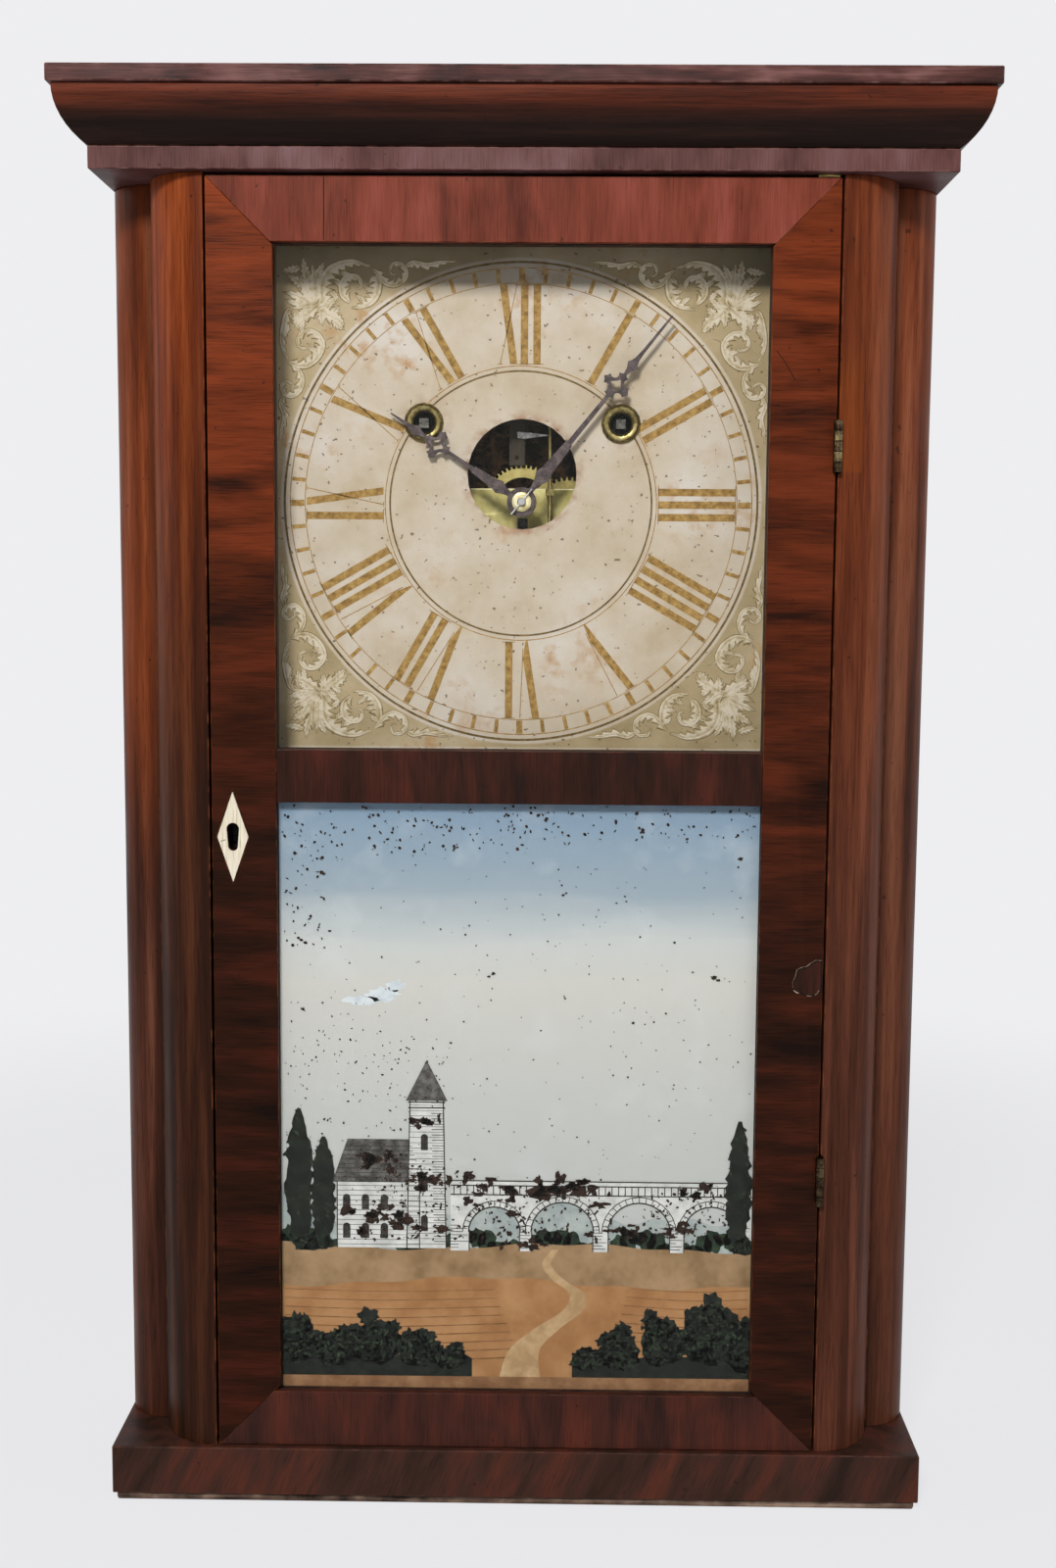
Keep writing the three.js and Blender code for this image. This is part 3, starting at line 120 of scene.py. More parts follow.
def startMaterial(name):
    material = bpy.data.materials.new(name)
    material.use_nodes = True
    tree = material.node_tree
    tree.nodes.clear()
    return material, tree, put(tree, "ShaderNodeTexCoord", out="Object")


def surface(tree, colour, rough, bump=None, more=None):  # without more it is matt like paint
    ins = {"Base Color": colour, "Roughness": rough, **(more or {"Specular IOR Level": 0.1})}
    if bump is not None:
        ins["Normal"] = bump
    put(tree, "ShaderNodeOutputMaterial", {"Surface": put(tree, "ShaderNodeBsdfPrincipled", ins)}, None)


def startTree(name, sockets):  # socket type: labels
    tree = bpy.data.node_groups.new(name, "GeometryNodeTree")
    for kind, labels in {"Geometry": "Geometry", **sockets}.items():
        for label in labels.split():
            tree.interface.new_socket(label, in_out="INPUT", socket_type="NodeSocket" + kind)
    tree.interface.new_socket("Geometry", in_out="OUTPUT", socket_type="NodeSocketGeometry")
    return tree, put(tree, "NodeGroupInput", out=None)


def anyVector(tree, least, most, seed):
    return put(tree, "FunctionNodeRandomValue", {0: least, 1: most, "Seed": seed}, data_type="FLOAT_VECTOR")


def standOn(tree, points, shape, angles, scale=(1, 1, 1)):
    turn = put(tree, "FunctionNodeEulerToRotation", {0: angles})
    return put(tree, "GeometryNodeInstanceOnPoints", {"Points": points, "Instance": shape, "Rotation": turn,
                                                      "Scale": scale})


def endTree(tree, shape, material):
    real = put(tree, "GeometryNodeRealizeInstances", {0: shape})
    done = put(tree, "GeometryNodeSetMaterial", {"Geometry": real, "Material": material})
    put(tree, "NodeGroupOutput", {0: done}, None)
    return tree


# helpers for meshes and pieces
def link(name, data):
    thing = bpy.data.objects.new(name, data)
    scene.collection.objects.link(thing)
    return thing


def rawMesh(name, points, faces=()):
    mesh = bpy.data.meshes.new(name)
    mesh.from_pydata(points, [], faces)
    return mesh


def cover(mesh, material):
    mesh.materials.clear()
    mesh.materials.append(material)


def grow(name, tree, values, base=None):  # runs a node tree and keeps the plain mesh
    holder = link(name + "_holder", base or bpy.data.meshes.new(name + "_seed"))
    modifier = holder.modifiers.new("grow", "NODES")
    modifier.node_group = tree
    for item in tree.interface.items_tree:
        if item.in_out == "INPUT" and item.name in values:
            modifier[item.identifier] = values[item.name]
    mesh = bpy.data.meshes.new_from_object(holder.evaluated_get(bpy.context.evaluated_depsgraph_get()))
    holder.modifiers.remove(modifier)
    bpy.data.objects.remove(holder)
    mesh.name = name
    return mesh


def smoothTo(mesh, sharp):  # smooth shading up to an angle in degrees
    mesh.shade_smooth()
    mesh.set_sharp_from_angle(angle=math.radians(sharp))


def meshOf(name, store, sharp=None):
    mesh = rawMesh(name, *store)
    shell = bmesh.new()
    shell.from_mesh(mesh)
    bmesh.ops.recalc_face_normals(shell, faces=shell.faces)
    shell.to_mesh(mesh)
    shell.free()
    if sharp:
        smoothTo(mesh, sharp)
    return mesh


def addPiece(name, mesh, material, body, slot, *stands):
    piece = link(name, mesh)
    if material:
        cover(mesh, material)
    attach(piece, body)
    if stands:
        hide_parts(*stands)
    return piece


def slab(store, outline, front, back):  # closed thin sheet, outline in x and z
    start, count = len(store[0]), len(outline)
    for depth in (front, back):
        store[0].extend((x * mm, depth * mm, z * mm) for x, z in outline)
    store[1].append([start + i for i in range(count)])
    store[1].append([start + count + i for i in reversed(range(count))])
    for i in range(count):
        j = (i + 1) % count
        store[1].append([start + i, start + count + i, start + count + j, start + j])


def normals(line):  # unit normal at each point of a line
    for i in range(len(line)):
        (x0, z0), (x1, z1) = line[max(i - 1, 0)], line[min(i + 1, len(line) - 1)]
        length = math.hypot(x1 - x0, z1 - z0) or 1.0
        yield -(z1 - z0) / length, (x1 - x0) / length


def band(store, line, width, front, back):  # closed strip of even width along a line
    left, right = [], []
    for (x, z), (nx, nz) in zip(line, normals(line)):
        left.append((x + nx * width / 2, z + nz * width / 2))
        right.append((x - nx * width / 2, z - nz * width / 2))
    slab(store, left + right[::-1], front, back)


def flatPiece(name, paint, body, slot, depths, outlines=(), lines=()):  # sheets and strips between two depths
    store = ([], [])
    for outline in outlines:
        slab(store, outline, *depths)
    for line, width in lines:
        band(store, line, width, *depths)
    return addPiece(name, meshOf(name, store), finish[paint], body, slot)


def hoop(store, centre, radius, width, front, back, first=0.0, last=math.tau, steps=180):  # flat ring or part of it
    start, whole = len(store[0]), math.isclose(last - first, math.tau)
    count, inner, outer = steps if whole else steps + 1, radius - width / 2, radius + width / 2
    for i in range(count):
        a = first + (last - first) * i / steps
        for r, y in ((inner, front), (outer, front), (outer, back), (inner, back)):
            store[0].append(((centre[0] + r * math.sin(a)) * mm, y * mm, (centre[1] + r * math.cos(a)) * mm))
    for i in range(steps):
        a, b = start + 4 * i, start + 4 * ((i + 1) % count)
        store[1].extend([a + k, a + (k + 1) % 4, b + (k + 1) % 4, b + k] for k in range(4))
    if not whole:
        store[1].extend([end + k for k in range(4)] for end in (start, start + 4 * steps))


def turned(store, centre, profile, steps=28):  # lathe work about the y axis: (y, radius) from front to back, closed
    start, last = len(store[0]), (len(profile) - 1) * steps
    for y, radius in profile:
        for k in range(steps):
            a = math.tau * k / steps
            store[0].append(((centre[0] + radius * math.cos(a)) * mm, y * mm,
                             (centre[1] + radius * math.sin(a)) * mm))
    for row in range(start, start + last, steps):
        for k in range(steps):
            a, b = row + k, row + (k + 1) % steps
            store[1].append([a, b, b + steps, a + steps])
    store[1].append([start + k for k in range(steps)])
    store[1].append([start + last + k for k in reversed(range(steps))])


def smoothLine(points, steps=8):  # rounded line through the points
    full = [points[0], *points, points[-1]]
    line = []
    for four in zip(full, full[1:], full[2:], full[3:]):
        for t in (k / steps for k in range(steps)):
            line.append(tuple(0.5 * (2 * q + (r - p) * t + (2 * p - 5 * q + 4 * r - w) * t * t
                                     + (3 * q - p - 3 * r + w) * t ** 3) for p, q, r, w in zip(*four)))
    return line + [points[-1]]


# camera where the photograph was taken from, a little above the middle and looking down
view = {"at": (0.0144, -0.845, 0.420), "turn": 0.013, "down": 0.108, "roll": 0.007, "lens": 41.79, "sensor": 36.0}
lens = bpy.data.cameras.new("photoCamera")
lens.lens, lens.sensor_width, lens.clip_start = view["lens"], view["sensor"], 0.01
scene.camera = link("photoCamera", lens)
scene.camera.matrix_world = (Matrix.Translation(view["at"]) @ Matrix.Rotation(view["turn"], 4, "Z")
                             @ Matrix.Rotation(math.pi / 2 - view["down"], 4, "X")
                             @ Matrix.Rotation(view["roll"], 4, "Z"))

# pale floor that fades into an equally pale world, soft lamps from the front and one at each side
studio = {"floor": "#cbcbcd", "world": "#eeeef0", "worldLight": 0.21, "pale": 0.84, "fade": (0.5, 1.1), "reach": 3.0,
          "aim": (0, 0, 0.36),
          # lamp: place, size in m, power in W
          "lamps": {"key": ((-0.3, -1.65, 1.44), 0.34, 39.0), "fill": ((1.2, -1.4, 0.7), 1.3, 4.5),
                    "leftEdge": ((-1.5, -0.15, 0.8), 0.8, 4.0), "rightEdge": ((1.5, -0.15, 0.8), 0.8, 4.0)}}


def seen(tree):  # 1 for what the camera sees, also in a mirror or through glass
    path = put(tree, "ShaderNodeLightPath", out=None)
    direct = calc(tree, "MAXIMUM", path["Is Camera Ray"], path["Is Glossy Ray"])
    return calc(tree, "MAXIMUM", direct, path["Is Transmission Ray"])


def makeStudio(spec):
    scene.world = bpy.data.worlds.new("paleRoom")
    scene.world.use_nodes = True
    tree = scene.world.node_tree
    tree.nodes.clear()
    light = put(tree, "ShaderNodeBackground", {"Color": "#ffffff", "Strength": spec["worldLight"]})
    backdrop = put(tree, "ShaderNodeBackground", {"Color": spec["world"], "Strength": 1.0})
    mixed = put(tree, "ShaderNodeMixShader", {0: seen(tree), 1: light, 2: backdrop})
    put(tree, "ShaderNodeOutputWorld", {"Surface": mixed}, None)

    # matt paper sweep: takes the shadow near the clock, melts into the world farther out
    paper, tree, place = startMaterial("paper_sweep")
    far = put(tree, "ShaderNodeVectorMath", {0: place}, "Value", operation="LENGTH")
    fade = remap(tree, far, *spec["fade"], spec["pale"], 1.0, "SMOOTHSTEP")
    matt = put(tree, "ShaderNodeBsdfPrincipled", {"Base Color": spec["floor"], "Roughness": 0.9})
    glow = put(tree, "ShaderNodeEmission", {"Color": spec["world"], "Strength": 1.0})
    mixed = put(tree, "ShaderNodeMixShader", {0: calc(tree, "MULTIPLY", seen(tree), fade), 1: matt, 2: glow})
    put(tree, "ShaderNodeOutputMaterial", {"Surface": mixed}, None)
    reach = spec["reach"]
    corners = [(-reach, -reach, 0), (reach, -reach, 0), (reach, reach, 0), (-reach, reach, 0)]
    mesh = rawMesh("paper_floor", corners, [(0, 1, 2, 3)])
    cover(mesh, paper)
    floor = link("paper_floor", mesh)

    for name, (place, size, power) in spec["lamps"].items():
        lamp = bpy.data.lights.new(name, "AREA")
        lamp.energy, lamp.size = power, size
        aim = Vector(spec["aim"]) - Vector(place)
        link(name, lamp).matrix_world = (Matrix.Translation(place)
                                         @ aim.to_track_quat("-Z", "Y").to_matrix().to_4x4())


makeStudio(studio)
print("camera, floor and light ready")

# French-polished mahogany veneer: silky ribbons along the grain, darker flame across it, open pores as fine dark
# dashes.
# A wood may fade from its "low" colours low down to its "high" colours higher up: painted light and shade, lighter
# where the lamp's shine falls on the upper parts, darker low down where shade falls.
# Sizes of the figure are length and width in mm, fade is two heights in m; what a wood leaves out is in veneer.
veneer = {"grain": "z", "fade": (0.33, 0.56), "pores": 0.8, "shine": 0.09, "rough": 0.42, "worn": "#7c4329",
          "fibre": (14.0, 0.6), "slant": 66, "dirtColour": "#1f110b", "knock": "#160d0a", "inlayShare": 0.3}
woods = {
    "stile": {"grain": "x", "high": ("#290f05", "#5f270f", "#7b3417"), "low": ("#140a06", "#271209", "#3f1a10"),
              "worn": "#74401f", "ribbon": (70, 10), "flame": (120, 24), "shine": 0.04, "fade": (0.3, 0.55)},
    "topRail": {"high": ("#451b10", "#693021", "#803f35"), "worn": "#8a543f", "ribbon": (70, 13),
                "flame": (80, 34), "shine": 0.06, "pores": 0.88},
    "midRail": {"high": ("#190c07", "#2c140c", "#421d14"), "worn": "#5a3020", "ribbon": (60, 9),
                "flame": (60, 26), "rough": 0.4},
    "bottomRail": {"high": ("#251411", "#3a1d16", "#4e2419"), "worn": "#5e3828", "ribbon": (60, 10),
                   "flame": (70, 32), "rough": 0.4},
    "frieze": {"high": ("#351a17", "#573734", "#6b4e50"), "worn": "#7c5d57", "ribbon": (60, 22),
               "flame": (90, 48), "rough": 0.45, "pores": 0.9},
    # the cornice's "low" tones are painted shade on the lower part of its moulding, which faces down
    "cornice": {"grain": "x", "high": ("#2c110a", "#522211", "#6a301c"), "low": ("#140a06", "#1b0f0b", "#2a1711"),
                "worn": "#6d3d2a", "ribbon": (110, 4), "flame": (160, 11), "rough": 0.36, "fade": (0.6115, 0.6285)},
    "top": {"grain": "x", "high": ("#180c0a", "#492a26", "#74504c"), "worn": "#74544e", "ribbon": (60, 7),
            "flame": (50, 22), "rough": 0.45, "pores": 0.88},
    "leftColumn": {"high": ("#441906", "#713012", "#944b23"), "low": ("#1c0f08", "#2e170d", "#4c2a19"),
                   "ribbon": (150, 5), "flame": (240, 10), "rough": 0.36, "shine": 0.05, "fade": (0.29, 0.62),
                   "dirt": (137, 153, 0.38)},
    "rightColumn": {"high": ("#3c180a", "#592813", "#763d21"), "low": ("#2a170e", "#47261a", "#663a2a"),
                    "ribbon": (150, 5), "flame": (240, 10), "rough": 0.36, "shine": 0.05, "fade": (0.24, 0.5),
                    "inlay": (147.7, 470, 526, "#73380f")},
    "leftSide": {"high": ("#441d0d", "#642e15", "#7d4529"), "low": ("#26140c", "#422318", "#603a2b"),
                 "ribbon": (160, 6), "flame": (250, 14), "rough": 0.38, "shine": 0.05, "fade": (0.26, 0.38),
                 "dirt": (164.5, 169.5, 0.7)},
    "plinth": {"grain": "d", "high": ("#241610", "#38211a", "#52281b"), "worn": "#553629", "ribbon": (60, 11),
               "flame": (90, 28)},
}
woods["rightSide"] = dict(woods["leftSide"], high=("#431d0e", "#67321b", "#7e4830"),
                          low=("#2f1b12", "#522d1f", "#6e4431"), fade=veneer["fade"])
woods["corniceReturn"] = dict(woods["cornice"], grain="y")
woods["rightStile"] = dict(woods["stile"], high=("#280f06", "#5c2610", "#753218"),
                           low=("#160b07", "#2b140b", "#451d12"), fade=(0.2, 0.62))


def mahogany(name, look):
    look = {**veneer, **look}
    material, tree, place = startMaterial("mahogany_veneer_" + name)
    height = split(tree, place)[2]
    if look["grain"] == "d":  # flame veneer laid slantwise
        slant = (0, math.radians(look["slant"]), 0)
        place = put(tree, "ShaderNodeMapping", {"Vector": place, "Rotation": slant})
    axes = split(tree, place)
    order = {"z": (2, 0, 1), "y": (1, 2, 0)}.get(look["grain"], (0, 2, 1))  # along the grain, across it, depth
    along = joined(tree, {i: axes[k] for i, k in enumerate(order)})

    def streaks(length, width, detail, bend):  # sizes in mm
        drawn = stretch(tree, along, (1000 / length, 1000 / width, 1000 / width))
        return noise(tree, drawn, 1.0, detail, 0.55, bend)

    fibre = streaks(*look["fibre"], 2.0, 0.0)  # real pores are 0.1 mm wide, drawn coarse so that they show
    figure = average(tree, 0.52, streaks(*look["ribbon"], 4.0, 0.35), streaks(*look["flame"], 3.0, 0.9))
    figure = average(tree, 0.13, figure, fibre)
    low, high = (shades(tree, figure, (0.37, 0.5, 0.64), look.get(key, look["high"])) for key in ("low", "high"))
    # painted light and shade: dark "low" tones below the fade heights, lit "high" tones above them
    colour = blend(tree, remap(tree, height, *look["fade"], curve="SMOOTHSTEP"), low, high)
    colour = blend(tree, 1.0, colour, remap(tree, fibre, 0.36, 0.43, look["pores"]), "MULTIPLY")
    across = calc(tree, "ABSOLUTE", axes[0])
    if "inlay" in look:  # strip of newer veneer beside the hinge, up to a distance and between two heights
        reach, foot, head, tint = look["inlay"]
        inside = calc(tree, "LESS_THAN", across, reach * mm)
        for end, soft in ((foot, 0.4), (head, -20)):
            inside = calc(tree, "MULTIPLY", inside, remap(tree, height, end * mm, (end + soft) * mm))
        colour = blend(tree, calc(tree, "MULTIPLY", inside, look["inlayShare"]), colour, tint)
    if "dirt" in look:  # painted shade along one edge, in the groove beside the next part: (edge, fades out at, strength)
        edge, end, most = look["dirt"]
        colour = blend(tree, remap(tree, across, edge * mm, end * mm, most, 0.0), colour, look["dirtColour"])
    # worn edges, broken up by patches about 6 mm long, and small dark knocks in the polish
    worn = put(tree, "ShaderNodeAttribute", out="Fac", attribute_name="worn")
    patch = remap(tree, noise(tree, place, 160.0, 3.0), 0.48, 0.62, 0.0, 0.5)
    colour = blend(tree, calc(tree, "MULTIPLY", worn, patch), colour, look["worn"])
    knock = remap(tree, noise(tree, place, 230.0, 2.0), 0.72, 0.77, 0.0, 0.6)
    colour = blend(tree, knock, colour, look["knock"])
    haze = noise(tree, place, 28.0, 4.0)
    rough = remap(tree, haze, 0.3, 0.7, look["rough"] - 0.07, look["rough"] + 0.12)
    polish = {"IOR": 1.5, "Specular IOR Level": look["shine"]}
    surface(tree, colour, rough, relief(tree, fibre, 0.22, 0.0004), polish)
    return material


finish = {name: mahogany(name, look) for name, look in woods.items()}


# Unpolished timber: sawn grain lines, dry and matt
def sawnTimber(name, tones, grain, rough, stain=55.0):
    material, tree, place = startMaterial(name)
    drawn = stretch(tree, place, {"x": (8, 160, 160), "z": (160, 160, 8)}[grain])
    lines = average(tree, 0.4, noise(tree, drawn, 1.0, 5.0, bend=0.4), noise(tree, drawn, 5.0, 3.0))
    mixed = average(tree, 0.35, lines, noise(tree, place, stain, 5.0))
    colour = shades(tree, mixed, (0.39, 0.5, 0.6), tones)
    surface(tree, colour, rough, relief(tree, mixed, 0.5, 0.0008))
    return material


# material, tones from dark to light, direction of the grain, roughness, stains per m
timbers = {"skid": ("weathered_skid_wood", ("#231b17", "#5d4a3f", "#8f7868"), "x", 0.85, 120.0),
           "bead": ("stained_bead_wood", ("#1d120d", "#2f1c14", "#46291c"), "z", 0.6),
           "pine": ("old_pine", ("#6d4a2c", "#8d6540", "#a98258"), "z", 0.75)}
finish.update((name, sawnTimber(*row)) for name, row in timbers.items())


# Aged metals: clouded tarnish with brighter rubbed patches, still mirroring their surroundings softly
def agedMetal(name, tones, grain, low, high, metallic=1.0, paintedShade=None):
    material, tree, place = startMaterial(name)
    fine = noise(tree, place, 4000 / grain, 3.0)
    mixed = average(tree, 0.35, noise(tree, place, 1000 / grain, 4.0), fine)
    colour = shades(tree, mixed, (0.38, 0.5, 0.62), tones)
    if paintedShade:  # painted shade above a height, where the plate lies deep in the case: (from, to, colour)
        colour = blend(tree, remap(tree, split(tree, place)[2], *paintedShade[:2]), colour, paintedShade[2])
    rough = remap(tree, mixed, 0.35, 0.65, high, low)
    surface(tree, colour, rough, relief(tree, fine, 0.12, 0.0002), {"Metallic": metallic})
    return material


# material, tones from dark to light, size of the clouds in mm, least and most roughness, metallic, painted shade
metals = {
    "brass": ("aged_brass", ("#8a7d4a", "#a1935a", "#b5a76c"), 12, 0.3, 0.42),
    "plate": ("sheet_brass", ("#968c4f", "#a69c60", "#b5ac74"), 16, 0.5, 0.6, 0.6, (0.4645, 0.4655, "#2b2317")),
    "wire": ("drawn_brass_wire", ("#6f6138", "#94844f", "#b3a56e"), 9, 0.3, 0.42),
    # filed: pale brass for a painted highlight along the strap's top edge
    "filed": ("bright_filed_brass", ("#d2c893", "#e3daa9", "#efe8c4"), 5, 0.3, 0.4),
    # shadedBrass: a dark copy of the brass, painted shade for the back plate and wheels deep inside the case
    "shadedBrass": ("oil_darkened_brass", ("#1c140c", "#33241a", "#543a24"), 8, 0.4, 0.55),
    "grommet": ("olive_tarnished_brass", ("#4f4526", "#7d6f42", "#a09263"), 6, 0.25, 0.42),
    "hinge": ("bronzed_hinge_brass", ("#1f1811", "#33281c", "#554733"), 4, 0.35, 0.55),
    "hingeRubbed": ("rubbed_hinge_brass", ("#3a3020", "#5a4e37", "#82744f"), 4, 0.3, 0.45),
    "washer": ("pale_washer_brass", ("#b8ab77", "#d0c592", "#e3dab2"), 5, 0.35, 0.5, 0.8),
    "steel": ("grey_steel", ("#75736f", "#a2a09d", "#c3c2c0"), 5, 0.25, 0.45),
    "dullSteel": ("dull_arbor_steel", ("#35332f", "#4c4a45", "#6a6761"), 3, 0.35, 0.5),
    "blued": ("faded_blued_steel", ("#2b2323", "#423837", "#594d4b"), 3, 0.42, 0.6, 0.6),
    "iron": ("cast_iron", ("#1f1d1c", "#343130", "#4d4946"), 4, 0.5, 0.7, 0.6),
    "spring": ("oiled_spring_steel", ("#3c3c40", "#5a5a5e", "#7d7c7c"), 6, 0.3, 0.45),
}
finish.update((name, agedMetal(*row)) for name, row in metals.items())


# Bleached bone: creamy with fine darker lines along its length
def bone():
    material, tree, place = startMaterial("bleached_bone")
    lines = noise(tree, stretch(tree, place, (1400, 1400, 90)), 1.0, 3.0)
    colour = shades(tree, lines, (0.3, 0.42, 0.7), ("#a5977b", "#c9bfa9", "#d5cdbd"))
    surface(tree, colour, 0.42, relief(tree, lines, 0.15, 0.0002))
    return material


# Old window glass: almost invisible, a faint grey film and a soft shine
def oldGlass():
    material, tree, place = startMaterial("old_window_glass")
    ripple = noise(tree, place, 18.0, 2.0)
    surface(tree, "#4a4c48", 0.04, relief(tree, ripple, 0.2, 0.0008), {"Alpha": 0.05, "IOR": 1.5})
    return material


# Brushed paint and dirt: uneven tones where it lies thick or thin
def brushedPaint(name, tones, grain, rough):
    material, tree, place = startMaterial(name)
    cloud = noise(tree, place, 1000 / grain, 5.0, 0.65)
    colour = shades(tree, cloud, (0.36, 0.5, 0.66), tones)
    surface(tree, colour, rough, relief(tree, cloud, 0.1, 0.0002))
    return material


# material, tones from dark to light, size of the clouds in mm, roughness
brushed = {"ochre": ("bronze_powder_paint", ("#7a5c2c", "#9a7840", "#b39458"), 3, 0.5),
           "ringLine": ("dark_bronze_paint", ("#51401f", "#6b562f", "#876f42"), 3, 0.5),
           "crack": ("dirt_filled_crack", ("#0e0806", "#180e0a", "#24150e"), 2, 0.8),
           # rimHighlight: pale grey paint for a painted highlight along the door patch's rim
           "rimHighlight": ("painted_rim_highlight", ("#4a3a2e", "#6f5f50", "#9a8b7b"), 2, 0.7)}
finish.update((name, brushedPaint(*row)) for name, row in brushed.items())
finish.update(bone=bone(), glass=oldGlass())
print("materials ready:", len(finish))


# a copy of a CAD node, merged, with its edges eased; the eased edges carry the "worn" attribute
def dress(node, material, ease, sharp=20, eased=32):
    shell = bmesh.new()
    shell.from_mesh(nodes[node].data)
    bmesh.ops.remove_doubles(shell, verts=shell.verts, dist=3e-6)
    bmesh.ops.dissolve_limit(shell, angle_limit=math.radians(1), verts=shell.verts, edges=shell.edges)
    worn = shell.faces.layers.float.new("worn")
    if ease:
        edges = [e for e in shell.edges if len(e.link_faces) == 2 and e.calc_face_angle() > math.radians(eased)]
        made = bmesh.ops.bevel(shell, geom=edges, offset=ease * mm, segments=2, profile=0.5, affect="EDGES",
                               clamp_overlap=True)
        for face in made["faces"]:
            face[worn] = 1.0
    mesh = bpy.data.meshes.new(node + "_dressed")
    shell.to_mesh(mesh)
    shell.free()
    smoothTo(mesh, sharp)
    return addPiece(node + "_dressed", mesh, material, bodyOf[node], slotOf[node], node)


# node: finish, edge easing in mm
dressed = {
    "skid_board": ("skid", 1.2), "base_board": ("plinth", 0.6), "left_side_board": ("leftSide", 0.6),
    "right_side_board": ("rightSide", 0.6), "left_column": ("leftColumn", 0.5), "right_column": ("rightColumn", 0.5),
    "frieze_board": ("frieze", 0.5), "cornice_front": ("cornice", 0.3), "cornice_left_return": ("corniceReturn", 0.3),
    "cornice_right_return": ("corniceReturn", 0.3), "top_board": ("top", 0.7), "back_board": ("pine", 0.5),
    "left_dial_rail": ("pine", 0.5), "right_dial_rail": ("pine", 0.5), "door_left_stile": ("stile", 0.28),
    "door_right_stile": ("rightStile", 0.28), "door_top_rail": ("topRail", 0.28), "door_middle_rail": ("midRail", 0.28),
    "door_bottom_rail": ("bottomRail", 0.28), "upper_glazing_bead": ("bead", 0.4), "lower_glazing_bead": ("bead", 0.4),
    "escutcheon": ("bone", 0.25), "time_grommet": ("grommet", 0.3), "strike_grommet": ("grommet", 0.3),
    "minute_hand": ("blued", 0.14), "hour_hand": ("blued", 0.14), "hand_washer": ("washer", 0.12),
    "hand_pin": ("steel", 0.0), "upper_case_hinge_leaf": ("hinge", 0.15), "lower_case_hinge_leaf": ("hinge", 0.15),
    "upper_door_hinge_leaf": ("hingeRubbed", 0.15), "lower_door_hinge_leaf": ("hinge", 0.15),
    "lock_case": ("iron", 0.4), "lock_bolt": ("iron", 0.3), "front_plate": ("plate", 0.12),
    "back_plate": ("shadedBrass", 0.12), "pendulum_bob": ("brass", 0.0), "hammer": ("iron", 0.2),
}
for node, (look, ease) in dressed.items():
    dress(node, finish[look], ease)

# the remaining nodes keep their CAD shape
kept = {
    "brass": ("hour_wheel", "minute_wheel", "second_wheel", "fly"),
    "shadedBrass": ("centre_wheel", "third_wheel", "escape_wheel", "count_wheel", "strike_great_wheel",
                  "time_great_wheel"),
    "steel": ("centre_arbor", "suspension_cock"), "dullSteel": ("time_winding_arbor", "strike_winding_arbor"),
    "wire": ("verge", "pendulum_rod"), "glass": ("upper_glass", "tablet_glass"),
}
for look, members in kept.items():
    for node in members:
        cover(nodes[node].data, finish[look])
print("woodwork and fittings dressed")

# Painted zinc dial: ivory oil paint gone warm, olive-beige corners, rust bleeding at cut edges, specks and stains
dial = {"hand": (0, 457.5), "painted": (-0.5, 456.8), "face": -18.0, "winding": (44.1, 492.6), "ring": 108.0,
        "border": 346.9, "rightBorder": 109.0, "ivory": ("#b5a489", "#c3b6a2", "#cdc5b9"),
        "corner": ("#95835e", "#a99773", "#bcab8b"), "stain": "#ad8049", "rust": "#8f5a33", "speck": "#5c4a30",
        # painted shade below the top rail, partly smoke staining: height, strength, colour
        "shadeAndSmoke": (553.0, 0.4, "#2e271b"),  # height, strength, colour
        # x, z, radius, strength: stains, then rust around the centre opening and the winding holes
        "spots": ((-8, 444.0, 7, 0.75), (33, 384, 15, 0.5), (16, 372, 9, 0.4), (62, 428, 9, 0.35),
                  (-40, 424, 7, 0.3), (0, 555, 10, 0.35)),
        "rusty": ((0, 470.1, 24.5, 0.8), (-44.1, 492.6, 9.5, 0.3), (44.1, 492.6, 9.5, 0.3))}


